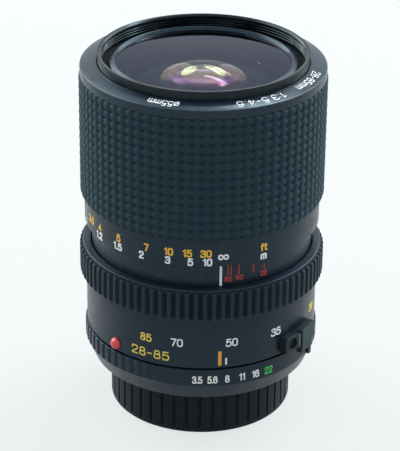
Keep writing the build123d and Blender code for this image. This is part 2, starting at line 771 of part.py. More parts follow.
def make_aperture_link():
    """Arm from the aperture ring to the iris rod, through the barrel's stub."""
    arm = radial_block(
        link_width, link_thickness, rod_circle - rod_radius - link_play, aperture_bore + overrun,
        link_z + 0.5 * link_thickness, rod_azimuth)
    arm = arm & ring(rod_circle - 2 * link_width, aperture_bore, stub_z, stub_z + 2 * link_thickness)
    hole = upright(rod_radius + running_gap, stub_z, stub_z + 2 * link_thickness, rod_circle, rod_azimuth)
    return arm - hole


def make_click_spring():
    """Coil spring behind the click ball."""
    length = click_coil_length
    wire = Plane.XZ * Pos(click_coil_radius, 0) * Circle(click_spring_wire)
    path = Helix(length / click_spring_turns, length, click_coil_radius)
    coil = sweep(wire, path, is_frenet=True)
    inner = stub_bore + click_floor + click_spring_wire
    return azimuth(click_azimuth) * Pos(inner, 0, click_z) * Rot(0, 90, 0) * coil


def make_bayonet():
    """Bayonet mount: flange, throat tube and lugs."""
    body = turned([
        (throat_radius, flange_z - bayonet_depth), (bayonet_radius, flange_z - bayonet_depth),
        (bayonet_radius, flange_z), (flange_radius, flange_z), (flange_radius, stub_z),
        (throat_radius, stub_z)])
    lugs = [sector(bayonet_radius - cell_play, lug_radius, lug_z, lug_z + lug_thickness,
                   angle, angle + lug_angle) for angle in around(lug_count)]
    holes = []
    for angle in around(mount_screw_count, mount_screw_azimuth):
        holes.append(upright(mount_screw_radius, flange_z - overrun, stub_z + overrun, screw_circle, angle))
        holes.append(upright(mount_screw_head, flange_z - overrun, flange_z + mount_screw_head_height,
                             screw_circle, angle))
    return body + lugs - holes


def make_mount_screws():
    """Screws of the bayonet mount, with crossed slots."""
    screws = []
    for angle in around(mount_screw_count, mount_screw_azimuth):
        screw = upright(mount_screw_head, flange_z, flange_z + mount_screw_head_height, screw_circle, angle)
        screw += upright(mount_screw_radius, flange_z, flange_z + mount_screw_length, screw_circle, angle)
        for turn in (0, 90):
            slot = Box(1.4 * mount_screw_head, screw_slot, 2 * screw_slot)
            screw -= azimuth(angle) * Pos(screw_circle, 0, flange_z) * Rot(0, 0, turn) * slot
        screws.append(screw.solid())
    return Compound(screws)


def make_rear_cap():
    """Rear cap: grooved cup with three lugs inside."""
    bore = cap_radius - cap_wall
    body = turned([
        (0, 0), (cap_radius - cap_chamfer, 0), (cap_radius, cap_chamfer),
        (cap_radius, cap_height - 0.5 * cap_chamfer), (cap_radius - 0.5 * cap_chamfer, cap_height),
        (bore, cap_height), (bore, cap_floor), (0, cap_floor)])
    lug_bottom = lug_z + lug_thickness + lug_gap
    body += [sector(cap_lug_radius, bore + cell_play, lug_bottom, lug_bottom + cap_lug_thickness,
                    angle, angle + lug_angle) for angle in around(lug_count)]
    grooves = [radial_block(
        cap_groove_width, cap_height, cap_radius - cap_groove_depth, cap_radius + overrun,
        0.5 * cap_height + cap_chamfer + cap_groove_width, angle) for angle in around(cap_groove_count)]
    return body - grooves


def make_index_bead():
    """Domed red bead set in the barrel."""
    top = bead_depth + bead_dome
    curve = (bead_radius * bead_radius + bead_dome * bead_dome) / (2 * bead_dome)
    profile = make_face([
        Line((0, 0), (bead_radius, 0)), Line((bead_radius, 0), (bead_radius, bead_depth)),
        surface(curve, top, bead_radius), Line((0, top), (0, 0))])
    bead = revolve(Plane.XZ * profile, Axis.Z)
    return azimuth(bead_azimuth) * Pos(bead_seat, 0, bead_z) * Rot(0, 90, 0) * bead


def make_macro_base():
    """Fixed block of the macro switch, seated on the barrel, lower where the button slides."""
    top = barrel_top_z - macro_top_gap
    block = sector(barrel_radius - macro_seat, macro_face, macro_bottom_z, top, macro_first, macro_last)
    block = fillet(block.edges().filter_by(Axis.Z), macro_corner)
    block -= sector(
        macro_face - macro_step, macro_face + overrun, macro_bottom_z - overrun, top + overrun,
        macro_split, macro_button_last)
    block -= ring(stub_bore, barrel_radius, stub_z, zoom_grip_z)
    block -= macro_stem(macro_button_gap, macro_travel)
    return block - radial_pin(
        macro_screw_radius, macro_face - macro_screw_depth, macro_face + overrun, macro_middle_z,
        macro_screw_azimuth)


def macro_stem(play, travel):
    """Stem under the macro button, or with play and travel the slot that it runs in."""
    lower = macro_face - macro_step
    middle = 0.5 * (barrel_z + barrel_top_z)
    bottom = middle - 0.5 * macro_stem_height - play - 0.5 * travel
    top = middle + 0.5 * macro_stem_height + play + 0.5 * travel
    if travel == 0:
        bottom -= 0.5 * macro_travel
        top -= 0.5 * macro_travel
    return radial_block(
        macro_stem_width + 2 * play, top - bottom, lower - macro_stem_depth - play, lower + overrun,
        0.5 * (top + bottom), 0.5 * (macro_split + macro_button_last))


def make_macro_slide():
    """Sliding button of the macro switch."""
    inner = macro_face - macro_step + macro_button_gap
    gap_angle = degrees(macro_button_gap / macro_face)
    last = macro_button_last - gap_angle
    bottom = barrel_z - macro_button_drop
    plate = sector(
        inner, macro_button_face, bottom, barrel_top_z + macro_button_over, macro_split + gap_angle, last)
    plate = chamfer(plate.edges().filter_by(Axis.Z), 0.5 * macro_corner)
    plate += sector(
        inner, macro_button_face - macro_corner, bottom - macro_tooth_drop, bottom + macro_corner,
        last - gap_angle - macro_tooth_angle, last - gap_angle)
    return plate + (macro_stem(0, 0) & ring(stub_bore, inner + overrun, 0, zoom_top_z))


def make_macro_screw():
    """Flat screw in the macro switch's block."""
    pin = radial_pin(
        macro_screw_radius, macro_face - macro_screw_depth, macro_face - screw_slot, macro_middle_z,
        macro_screw_azimuth)
    return pin - radial_block(
        screw_slot, 2 * macro_screw_radius, macro_face - 2 * screw_slot, macro_face, macro_middle_z,
        macro_screw_azimuth)


# Radii that several pieces share
bowl_ledge_radius = filter_thread_radius - bowl_ledge_width
retaining_top_radius = bowl_ledge_radius - retaining_slope_width
glass_1_show_radius = retaining_top_radius - retaining_lip_width
glass_1_radius = glass_1_show_radius + glass_1_hold
glass_1_front_curve = glass_1_front_share * glass_1_radius
glass_1_back_curve = glass_1_back_share * glass_1_radius
glass_1_back_reach = glass_1_reach_share * glass_1_radius
front_glass_radius = front_glass_share * glass_1_radius
front_lip_radius = front_glass_radius - front_ledge_width
lug_radius = cap_radius - cap_wall - lug_play
bayonet_radius = lug_radius - bayonet_lug_height
throat_radius = bayonet_radius - throat_wall
cap_lug_radius = bayonet_radius + cap_lug_play
rod_circle = throat_radius - rod_throat_gap - rod_radius
iris_housing_radius = rod_circle - rod_stand
iris_open_radius = iris_open_share * iris_housing_radius
blade_width = blade_width_share * iris_housing_radius
blade_pivot_radius = blade_pivot_share * iris_housing_radius
drive_ring_bore = drive_ring_share * iris_housing_radius
upper_glass_radius = upper_glass_share * iris_housing_radius
lower_glass_radius = lower_glass_share * iris_housing_radius
rear_web_bore = lower_glass_radius + lower_cell_wall + rear_web_play
macro_face = barrel_radius + macro_stand
macro_button_face = macro_face + macro_button_stand
macro_first = macro_split - macro_dish_angle
macro_button_last = macro_split + macro_button_angle
macro_last = macro_button_last + macro_end_angle
macro_screw_azimuth = 0.5 * (macro_first + macro_split)

# Places that several pieces share
helicoid_top_z = focus_top_z - helicoid_inset
focus_bore = focus_tube_radius - focus_tube_wall
helicoid_bore = helicoid_radius - helicoid_wall
name_skirt_bore = front_rim_radius - name_ring_skirt
front_tail_z = focus_grip_z + focus_web + running_gap + helicoid_flange + front_barrel_tail
front_cell_radius = glass_1_radius + front_cell_wall
drive_key_z = focus_grip_z + drive_key_share * focus_grip_length
retaining_z = name_inner_z + retaining_stand
aperture_bore = stub_radius + running_gap
flange_radius = aperture_bore + 0.6 * (aperture_foot_radius - aperture_bore) - seam_gap
screw_circle = 0.5 * (stub_bore + stub_radius)
link_z = stub_z + link_rise
rear_tube_z = link_z + link_thickness + link_play + rear_zoom_down + stop_gap
rear_top_z = rear_roller_z + rear_tube_reach
drive_ring_z = rear_top_z + iris_floor + blade_pitch * blade_count + 2 * drive_ring_gap
lug_z = flange_z - bayonet_depth
bead_z = barrel_z + bead_rise_share * barrel_band_length
bead_seat = barrel_radius - bead_depth
macro_bottom_z = barrel_z + macro_rise_share * barrel_band_length
macro_middle_z = 0.5 * (macro_bottom_z + barrel_top_z - macro_top_gap)
click_z = 0.5 * (stub_z + aperture_top_z)
click_floor = 0.4 * click_ball_radius
click_coil_radius = 0.6 * click_ball_radius
click_coil_length = stub_wall + 0.5 * running_gap - click_floor - 2 * (click_ball_radius + click_spring_wire)
rod_bottom = link_z - rear_zoom_up - rod_spare

glass_1, glass_1_back = glass(
    glass_1_radius, retaining_z - glass_1_depth + sag(glass_1_front_curve, glass_1_show_radius),
    glass_1_thickness, glass_1_front_curve, glass_1_back_curve, glass_1_back_reach)
glass_1_bottom = glass_1_back - sag(glass_1_back_curve, glass_1_back_reach)
front_vertex = glass_1_bottom - front_ledge - cell_play + sag(
    front_glass_shares[0][1] * front_glass_radius, front_lip_radius)
front_stack, front_spacers, _, front_seat_z = glass_stack(
    front_glass_radius, front_vertex, front_glass_shares)
upper_stack, upper_spacers, upper_top_z, upper_seat_z = glass_stack(
    upper_glass_radius, rear_top_z + iris_height + upper_glass_rise, upper_glass_shares)
lower_top_z = rear_top_z - lower_seat
lower_vertex = lower_top_z + sag(lower_glass_shares[0][1] * lower_glass_radius, lower_glass_radius)
lower_stack, lower_spacers, _, lower_seat_z = glass_stack(
    lower_glass_radius, lower_vertex, lower_glass_shares)

nodes = {
    "main_barrel": make_main_barrel(),
    "bayonet_mount": make_bayonet(),
    "mount_screws": make_mount_screws(),
    "rear_cap": make_rear_cap(),
    "index_bead": make_index_bead(),
    "macro_base": make_macro_base(),
    "macro_screw": make_macro_screw(),
    "macro_slide": make_macro_slide(),
    "aperture_ring": make_aperture_ring(),
    "aperture_link": make_aperture_link(),
    "zoom_ring": make_zoom_ring(),
    "zoom_grip": make_zoom_grip(),
    "zoom_drive_key": make_zoom_key(),
    "cam_tube": make_cam_tube(),
    "front_carriage": make_front_carriage(),
    "front_rollers": make_rollers(front_roller_z),
    "index_sleeve": make_index_sleeve(),
    "focus_ring": make_focus_ring(),
    "focus_grip": make_focus_grip(),
    "focus_drive_keys": make_drive_keys(),
    "front_barrel": make_front_barrel(),
    "name_ring": make_name_ring(),
    "filter_ring": make_filter_ring(),
    "front_cell": make_front_cell(),
    "front_retaining_ring": make_front_retaining_ring(),
    "glass_1": glass_1,
    "rear_carriage": make_rear_carriage(),
    "rear_rollers": make_rollers(rear_roller_z),
    "iris_housing": make_iris_housing(),
    "iris_drive_ring": make_drive_ring(),
    "iris_link_rod": upright(rod_radius, rod_bottom, drive_ring_z, rod_circle, rod_azimuth),
    "upper_cell": make_upper_cell(),
    "lower_cell": make_lower_cell(),
    "click_ball": azimuth(click_azimuth) * Pos(
        stub_radius - click_ball_radius + 0.5 * running_gap, 0, click_z) * Sphere(click_ball_radius),
    "click_spring": make_click_spring(),
}
nodes["front_cell_rings"] = Compound(
    [spacer.solid() for spacer in front_spacers] + [cell_nut(front_glass_radius, front_seat_z).solid()])
upper_nut_z = upper_top_z + nut_thickness
nodes["upper_cell_rings"] = Compound(
    [spacer.solid() for spacer in upper_spacers] + [cell_nut(upper_glass_radius, upper_nut_z).solid()])
nodes["lower_cell_rings"] = Compound(
    [spacer.solid() for spacer in lower_spacers] + [cell_nut(lower_glass_radius, lower_seat_z).solid()])
number = 2
for stack in (front_stack, upper_stack, lower_stack):
    for element in stack:
        nodes[f"glass_{number}"] = element
        number += 1
for place in range(blade_count):
    nodes[f"iris_blade_{place + 1}"] = make_blade(place)

os.makedirs("parts", exist_ok=True)
for name, shape in nodes.items():
    export_step(shape, f"parts/{name}.step")
    print(f"{name}: {shape.volume:.1f} cubic millimetres")
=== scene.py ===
"""A manual-focus zoom lens that stands front up on its rear cap, dressed for pictures.

Sizes are millimetres, azimuths are degrees from the near side (-Y) towards +X, and Z is the lens axis.
"""
import bpy
import bmesh
import logging
import math
from dataclasses import dataclass, replace
from enum import Enum
from typing import Callable, Sequence

from mathutils import Matrix, Vector


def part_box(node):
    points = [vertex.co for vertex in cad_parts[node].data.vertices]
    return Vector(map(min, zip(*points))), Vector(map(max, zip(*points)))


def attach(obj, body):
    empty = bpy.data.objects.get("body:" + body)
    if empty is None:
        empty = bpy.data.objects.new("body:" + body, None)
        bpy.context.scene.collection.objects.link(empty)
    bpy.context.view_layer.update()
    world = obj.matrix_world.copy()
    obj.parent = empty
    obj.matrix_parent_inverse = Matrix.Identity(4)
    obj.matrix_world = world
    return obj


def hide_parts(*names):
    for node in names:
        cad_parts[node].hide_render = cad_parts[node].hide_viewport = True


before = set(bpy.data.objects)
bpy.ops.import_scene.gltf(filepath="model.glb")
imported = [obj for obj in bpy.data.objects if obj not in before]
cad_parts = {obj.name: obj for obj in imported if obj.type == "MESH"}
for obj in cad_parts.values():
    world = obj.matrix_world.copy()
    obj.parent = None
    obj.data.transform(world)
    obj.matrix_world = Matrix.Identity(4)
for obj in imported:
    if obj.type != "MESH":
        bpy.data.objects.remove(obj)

log = logging.getLogger("zoom_lens")

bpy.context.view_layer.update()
MM = 0.001
FULL_TURN = 360.0
TINY = 1e-6
CREASE = 32.0         # smallest angle between faces that stays a sharp edge, degrees
PROUD = 0.03          # how far a printed mark stands above its surface
SUNK = 0.06           # how far its sides go down into it
LAYER = 0.001         # how much further out each next stroke of a word stands
LETTER_GAP = 0.25     # in heights of a digit
# Bluish tint that the finishes give what they mirror: a painted reflection colour of a blue sky
SKY = (0.62, 0.86, 1.0)

Point = tuple[float, float]
Triple = tuple[float, float, float]
Face = tuple[int, ...]
Ring = tuple[Sequence[Point], float]
Shape = Callable[[float, float, float], float]
Socket = bpy.types.NodeSocket
Piece = bpy.types.Object


def extent(node: str) -> Triple:
    """Outer radius, foot and top of a CAD node, in millimetres."""
    low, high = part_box(node)
    return high[0] / MM, low[2] / MM, high[2] / MM


def place(radius: float, azimuth: float, height: float) -> Vector:
    """Point at a radius, azimuth and height, in metres."""
    turn = math.radians(azimuth)
    return Vector((radius * math.sin(turn), -radius * math.cos(turn), height)) * MM


def smooth(low: float, high: float, value: float) -> float:
    """Smooth step from 0 at low to 1 at high."""
    share = min(1.0, max(0.0, (value - low) / (high - low)))
    return share * share * (3 - 2 * share)


def softened(points: Sequence[Point], closed: bool) -> list[Point]:
    """Line with its corners cut away until it is smooth.

    Args:
        points: corners of the line.
        closed: whether its end meets its start.

    Returns:
        The smooth line.
    """
    line = list(points)
    for _ in range(3):
        pairs = zip(line, line[1:] + line[:1]) if closed else zip(line, line[1:])
        cut = [((1 - share) * x0 + share * x1, (1 - share) * y0 + share * y1)
               for (x0, y0), (x1, y1) in pairs for share in (0.25, 0.75)]
        line = cut if closed else [line[0], *cut, line[-1]]
    return line


class Pen(Enum):
    """How a stroke of a letter runs between its points, and its sign in a drawing."""

    STRAIGHT = "|"
    CURVED = "~"
    LOOP = "o"


Glyph = tuple[float, list[tuple[Pen, list[Point]]]]


def glyph(width: int, drawing: str) -> Glyph:
    """Letter from its drawing, with every measure in hundredths of a digit's height.

    Args:
        width: width of the letter.
        drawing: each stroke's sign and its points, as distances across and up.

    Returns:
        Its width and its strokes, in heights of a digit.
    """
    strokes: list[tuple[Pen, list[Point]]] = []
    for stroke in drawing.split("; "):
        sign, *spots = stroke.split()
        pairs = [spot.split(",") for spot in spots]
        strokes.append((Pen(sign), [(int(across) / 100, int(up) / 100) for across, up in pairs]))
    return width / 100, strokes


LETTERS: dict[str, Glyph] = {
    "0": glyph(60, "o 0,25 0,75 8,98 30,100 52,98 60,75 60,25 52,2 30,0 8,2"),
    "1": glyph(34, "| 4,80 28,100 28,0"),
    "2": glyph(60, "~ 3,72 3,98 25,101 56,100 60,72 46,47 14,26 0,0; | 0,0 60,0"),
    "3": glyph(60, "~ 4,80 6,99 30,100 56,100 57,76 54,54 24,54; ~ 24,54 56,54 60,27 57,0 30,0 3,0 0,20"),
    "4": glyph(64, "| 46,0 46,100 0,27 64,27"),
    "5": glyph(60, "| 55,100 10,100 5,52; ~ 5,52 16,63 42,65 60,55 62,20 50,0 25,-1 3,2 0,20"),
    "6": glyph(60, "~ 56,82 47,100 25,102 2,93 0,55 0,20 10,0 50,-1 62,20 60,46 50,61 18,62 2,48 0,32"),
    "7": glyph(56, "| 0,100 56,100 20,0"),
    "8": glyph(60, "o 30,54 9,58 5,78 11,98 30,100 49,98 55,78 51,58; "
                   "o 30,54 6,50 0,26 6,2 30,0 54,2 60,26 54,50"),
    ".": glyph(10, "| 5,0 5,3"),
    ":": glyph(10, "| 5,10 5,13; | 5,57 5,60"),
    "-": glyph(46, "| 3,47 43,47"),
    "f": glyph(36, "~ 38,100 14,102 14,75 14,0; | 0,68 34,68"),
    "t": glyph(36, "~ 14,95 14,30 14,-2 36,0; | 0,68 34,68"),
    "m": glyph(80, "| 0,0 0,70; ~ 0,45 4,71 38,75 40,50 40,0; ~ 40,45 44,71 78,75 80,50 80,0"),
    "ø": glyph(60, "o 0,20 0,50 10,70 50,70 60,50 60,20 50,0 10,0; | 0,-8 60,78"),
    "∞": glyph(150, "o 75,50 95,78 130,86 150,66 150,34 130,14 95,22 "
                    "75,50 55,78 20,86 0,66 0,34 20,14 55,22"),
}


class NodeSpace(Enum):
    """What a finish's grain follows."""

    SOLID = "solid"       # the material's own volume
    TURNED = "turned"     # fine lines round the lens axis


class Tree:
    """Node tree of a material or of the world, under construction."""

    # Sockets of a Mix node that mixes colours
    MIX_FIRST, MIX_SECOND, MIX_RESULT = 6, 7, 2

    def __init__(self, owner: bpy.types.ID, shader: str = "ShaderNodeBsdfPrincipled",
                 output: str = "ShaderNodeOutputMaterial") -> None:
        """Start a tree with a shader that feeds an output.

        Args:
            owner: material or world that the tree belongs to.
            shader: Blender's name for the shader's type.
            output: and for the output's.
        """
        owner.use_nodes = True
        self.nodes = owner.node_tree.nodes
        self.links = owner.node_tree.links
        self.nodes.clear()
        self.shader = self.add(shader)
        self.add(output, {"Surface": self.shader.outputs[0]})

    def add(self, kind: str, sockets: dict[str | int, object] | None = None,
            **settings: object) -> bpy.types.Node:
        """Add a node.

        Args:
            kind: Blender's name for the node's type.
            sockets: what its inputs get, as in feed.
            settings: attributes to set on it.

        Returns:
            The new node.
        """
        node = self.nodes.new(kind)
        for name, value in settings.items():
            setattr(node, name, value)
        self.feed(node, sockets or {})
        return node

    def feed(self, node: bpy.types.Node, sockets: dict[str | int, object]) -> None:
        """Set or join inputs of a node.

        Args:
            node: the node.
            sockets: for each input a socket to join, a tuple of red, green and blue, or a plain value.
        """
        for name, value in sockets.items():
            if isinstance(value, Socket):
                self.links.new(value, node.inputs[name])
            else:
                node.inputs[name].default_value = (*value, 1.0) if isinstance(value, tuple) else value

    def noise(self, size: float, detail: float = 3.0, stretch: Sequence[float] = (1, 1, 1)) -> Socket:
        """Noise with spots of a given size.

        Args:
            size: rough size of a spot, in millimetres.
            detail: levels of finer noise.
            stretch: scale along each axis.

        Returns:
            The noise's value, from 0 to 1.
        """
        scale = 1 / (size * MM)
        mapping = self.add("ShaderNodeMapping", {
            "Vector": self.add("ShaderNodeTexCoord").outputs["Object"],
            "Scale": [scale * part for part in stretch]})
        node = self.add("ShaderNodeTexNoise", {
            "Vector": mapping.outputs["Vector"], "Scale": 1.0, "Detail": detail})
        return node.outputs["Fac"]

    def spread(self, value: Socket, low: float, high: float, start: float = 0.3,
               stop: float = 0.7) -> Socket:
        """Map part of a value's range to another range, with its ends clamped.

        Args:
            value: socket to read.
            low: result at start.
            high: result at stop.
            start: value that gives low.
            stop: value that gives high.

        Returns:
            The mapped value.
        """
        node = self.add("ShaderNodeMapRange", {
            "Value": value, "From Min": start, "From Max": stop, "To Min": low, "To Max": high})
        return node.outputs["Result"]

    def mix(self, share: Socket, first: Socket | Triple, second: Socket | Triple) -> Socket:
        """Mix two colours, by how much of the second there is."""
        node = self.add("ShaderNodeMix", {
            "Factor": share, self.MIX_FIRST: first, self.MIX_SECOND: second}, data_type="RGBA")
        return node.outputs[self.MIX_RESULT]

    def combine(self, operation: str, first: Socket, second: Socket | float) -> Socket:
        """Join two values by one of Blender's Math operations."""
        return self.add("ShaderNodeMath", {0: first, 1: second}, operation=operation).outputs[0]

    def seen(self) -> Socket:
        """Find the rays of the camera, of mirrors and of glass.

        Returns:
            1 for such a ray, or else 0.
        """
        rays = self.add("ShaderNodeLightPath").outputs
        mirrored = self.combine("MAXIMUM", rays["Is Camera Ray"], rays["Is Glossy Ray"])
        return self.combine("MAXIMUM", mirrored, rays["Is Transmission Ray"])


@dataclass(frozen=True)
class Look:
    """What a surface is made of."""

    name: str
    slot: str

    def paint(self, tree: Tree) -> None:
        """Set the shader of a new tree up."""
        raise NotImplementedError

    def make(self) -> bpy.types.Material:
        """Find the material, or build it at its first use.

        Returns:
            The material.
        """
        name = f"{self.name}_finish"
        if name not in bpy.data.materials:
            self.paint(Tree(bpy.data.materials.new(name)))
        return bpy.data.materials[name]


@dataclass(frozen=True)
class Finish(Look):
    """Opaque finish: colour that drifts a little, gloss that varies, fine grain and worn edges."""

    colour: Triple
    pale: Triple                          # colour of the lighter patches, dust and wear
    roughness: float
    roughness_spread: float = 0.06
    metallic: float = 0.0
    specular: float = 0.5
    glint: Triple = (1.0, 1.0, 1.0)       # colour of what it mirrors: a painted tint on its reflections
    coat: float = 0.0
    coat_roughness: float = 0.12
    patch: float = 9.0                    # size of the colour patches
    patch_share: float = 0.25
    grain: float = 0.25                   # size of the grain
    grain_depth: float = 0.006
    wear: float = 0.0
    wear_edges: Point = (0.505, 0.56)     # pointiness where wear begins and is full
    scuff: float = 1.2                    # size of the scuffs on worn edges
    scuff_range: Point = (0.42, 0.68)     # of their noise
    space: NodeSpace = NodeSpace.SOLID

    def paint(self, tree: Tree) -> None:
        """Put noise on colour, gloss and grain, and wear on the edges.

        Args:
            tree: the material's new tree.
        """
        patches = tree.spread(tree.noise(self.patch), 0, self.patch_share)
        colour = tree.mix(patches, self.colour, self.pale)
        if self.wear > 0:
            pointed = tree.add("ShaderNodeNewGeometry").outputs["Pointiness"]
            edges = tree.spread(pointed, 0, 1, *self.wear_edges)
            scuffs = tree.spread(tree.noise(self.scuff, 6.0), 0, self.wear, *self.scuff_range)
            colour = tree.mix(tree.combine("MULTIPLY", edges, scuffs), colour, self.pale)
        stretch = (0.02, 0.02, 1.0) if self.space is NodeSpace.TURNED else (1.0, 1.0, 1.0)
        bump = tree.add("ShaderNodeBump", {
            "Strength": 1.0, "Distance": self.grain_depth * MM,
            "Height": tree.noise(self.grain, 2.0, stretch)})
        tree.feed(tree.shader, {
            "Metallic": self.metallic, "Specular IOR Level": self.specular, "Specular Tint": self.glint,
            "Coat Weight": self.coat, "Coat Roughness": self.coat_roughness, "Base Color": colour,
            "Roughness": tree.spread(tree.noise(self.patch / 3, 5.0), self.roughness - self.roughness_spread,
                                     self.roughness + self.roughness_spread),
            "Normal": bump.outputs["Normal"]})


@dataclass(frozen=True)
class CoatedGlass(Look):
    """Clear glass whose thin coating colours what it mirrors."""

    slot: str = "coated_glass"
    tint: Triple = (0.93, 0.94, 0.98)
    dust: float = 0.9                     # how much darker the tint is where dust lies
    index: float = 1.62
    film: float = 130.0                   # thickness of the coating, nanometres
    film_index: float = 1.38
    haze: float = 0.006                   # roughness where the glass is not quite clean
    haze_size: float = 7.0

    def paint(self, tree: Tree) -> None:
        """Set the glass and its film up, with a faint haze.

        Args:
            tree: the material's new tree.
        """
        haze = tree.noise(self.haze_size, 2.0)
        dusty = tuple(self.dust * part for part in self.tint)
        tree.feed(tree.shader, {
            "Transmission Weight": 1.0, "IOR": self.index, "Thin Film Thickness": self.film,
            "Thin Film IOR": self.film_index,
            "Base Color": tree.mix(tree.spread(haze, 0, 1, 0.35, 0.8), self.tint, dusty),
            "Roughness": tree.spread(haze, 0.0, self.haze, 0.5, 0.85)})


def ink(name: str, colour: Triple, pale: Triple) -> Finish:
    """Paint of printed marks."""
    return Finish(f"{name}_ink", "black_barrel", colour, pale, 0.5, patch=2.0, grain_depth=0.001)


BLACK = (0.0052, 0.012, 0.022)
DUSTY = (0.03, 0.04, 0.047)
ENAMEL = Finish("black_enamel", "black_barrel", BLACK, DUSTY, 0.34, specular=0.32, glint=SKY,
                patch_share=0.1, grain=0.16, grain_depth=0.003, wear=0.35)
APERTURE_ENAMEL = replace(ENAMEL, name="aperture_enamel", wear=0.0)
FRONT_ENAMEL = replace(ENAMEL, name="black_front_enamel", slot="black_front", roughness=0.26, specular=0.4,
                       grain=0.14, grain_depth=0.002, wear=0.4, space=NodeSpace.TURNED)
THREAD_BLACK = Finish("black_thread", "black_front", (0.003, 0.004, 0.005), DUSTY, 0.2, specular=0.3,
                      glint=SKY, patch_share=0.04, grain_depth=0.001, wear=0.2)
ZOOM_RUBBER = Finish("zoom_rubber", "rubber_zoom", (0.006, 0.0155, 0.0235), DUSTY, 0.5, specular=0.28,
                     glint=SKY, patch_share=0.14, grain=0.12, wear=0.2)
FOCUS_RUBBER = replace(ZOOM_RUBBER, name="focus_rubber", slot="rubber_focus", colour=(0.0105, 0.029, 0.041),
                       pale=(0.024, 0.042, 0.042), roughness=0.56, specular=0.24, patch=6.0,
                       patch_share=0.22, wear=0.15)
INNER_BLACK = Finish("matt_inner_black", "black_inner", (0.004, 0.004, 0.005), (0.014, 0.014, 0.014), 0.7,
                     specular=0.2, patch_share=0.15, space=NodeSpace.TURNED)
CAP_PLASTIC = replace(ENAMEL, name="cap_plastic", slot="cap_plastic", colour=(0.003, 0.0052, 0.006),
                      roughness=0.46, specular=0.17, grain=0.2, grain_depth=0.005, wear=0.3)
SWITCH_PLASTIC = replace(ENAMEL, name="switch_plastic", slot="switch_plastic", colour=(0.009, 0.013, 0.015),
                         roughness=0.42, specular=0.18, grain=0.15, wear=0.55)
BUTTON_FACE = replace(SWITCH_PLASTIC, name="button_face", colour=(0.045, 0.065, 0.06),
                      pale=(0.08, 0.1, 0.09), roughness=0.5, specular=0.35, wear=0.0)
# Pale bluish strip colour: a painted highlight where the edge of the switch catches the light
PAINTED_HIGHLIGHT_EDGE = Finish("painted_highlight_edge", "switch_plastic", (0.16, 0.22, 0.23), (0.3, 0.36, 0.37), 0.4, glint=SKY,
                   patch=1.0)
SCREW_BLACK = Finish("screw_black", "steel", (0.005, 0.006, 0.008), DUSTY, 0.4, specular=0.25, glint=SKY)
# Near-black paint on the glasses' sides; also painted shade in the slots of the switch's screw
EDGE_PAINT_AND_SLOT_SHADE = Finish("edge_paint", "coated_glass", (0.002, 0.002, 0.0025), (0.004, 0.004, 0.005), 0.8,
                    specular=0.05, patch_share=0.1)
BEAD_RED = Finish("red_bead", "red_bead", (0.72, 0.028, 0.022), (0.8, 0.09, 0.06), 0.2, coat=0.4,
                  patch=1.0, grain_depth=0.001)
STEEL = Finish("steel", "steel", (0.42, 0.42, 0.43), (0.55, 0.55, 0.55), 0.3, metallic=1.0, grain=0.1,
               grain_depth=0.002)
CHROME = replace(STEEL, name="mount_chrome", slot="mount_chrome", colour=(0.62, 0.62, 0.63),
                 pale=(0.7, 0.7, 0.7), roughness=0.2, space=NodeSpace.TURNED)
BRASS = replace(STEEL, name="roller_brass", slot="roller_brass", colour=(0.52, 0.36, 0.13),
                pale=(0.6, 0.45, 0.2), roughness=0.28)
IRIS_BLACK = Finish("iris_black", "iris_black", (0.012, 0.012, 0.014), (0.03, 0.03, 0.035), 0.4,
                    metallic=0.4)
WHITE_INK = ink("white", (0.98, 0.985, 0.98), (0.93, 0.94, 0.93))
AMBER_INK = ink("amber", (0.97, 0.55, 0.045), (0.9, 0.55, 0.1))
YELLOW_INK = ink("yellow", (0.9, 0.72, 0.1), (0.82, 0.7, 0.18))
ORANGE_INK = ink("orange", (0.93, 0.42, 0.04), (0.92, 0.5, 0.1))
RED_INK = ink("red", (0.55, 0.035, 0.045), (0.45, 0.05, 0.06))
GREEN_INK = ink("green", (0.04, 0.6, 0.1), (0.08, 0.55, 0.15))
FRONT_GLASS = CoatedGlass("front_glass", film=146.0)
DOME_GLASS = CoatedGlass("domed_glass", tint=(0.72, 0.54, 0.61), film=225.0, film_index=2.0)
THIRD_GLASS = CoatedGlass("third_glass", tint=(0.7, 0.5, 1.0), index=1.7, film=285.0)
INNER_GLASS = CoatedGlass("inner_glass", index=1.66, film=120.0)


def rounded(corners: Sequence[Triple], steps: int = 4) -> list[Point]:
    """Closed outline with its corners rounded.

    Args:
        corners: radius, height and rounding of each corner.
        steps: points along each rounded corner, less one.

    Returns:
        Points of the outline.
    """
    points: list[Point] = []
    for index, (radius, height, rounding) in enumerate(corners):
        if rounding <= 0:
            points.append((radius, height))
            continue
        here = Vector((radius, height))
        before, after = Vector(corners[index - 1][:2]), Vector(corners[(index + 1) % len(corners)][:2])
        start, end = (here + (other - here).normalized() * rounding for other in (before, after))
        for share in (step / steps for step in range(steps + 1)):
            points.append(tuple(start.lerp(here, share).lerp(here.lerp(end, share), share)))
    return points


def circle(radius: float, x: float, y: float, turns: Sequence[float]) -> list[Point]:
    """Points round a centre, one for each turn in radians."""
    return [(x + radius * math.cos(turn), y + radius * math.sin(turn)) for turn in turns]


def bar(left: float, right: float, low: float, high: float, corner: float, steps: int = 3) -> list[Point]:
    """Rectangle with rounded corners.

    Args:
        left: left side.
        right: right side.
        low: lower side.
        high: upper side.
        corner: radius of its corners.
        steps: points along each corner, less one.

    Returns:
        Its points, anticlockwise from the lower right corner.
    """
    centres = ((right - corner, low + corner), (right - corner, high - corner),
               (left + corner, high - corner), (left + corner, low + corner))
    turns = [math.radians(90 * step / steps - 90) for step in range(steps + 1)]
    return [point for quarter, (x, y) in enumerate(centres)
            for point in circle(corner, x, y, [turn + quarter * math.pi / 2 for turn in turns])]


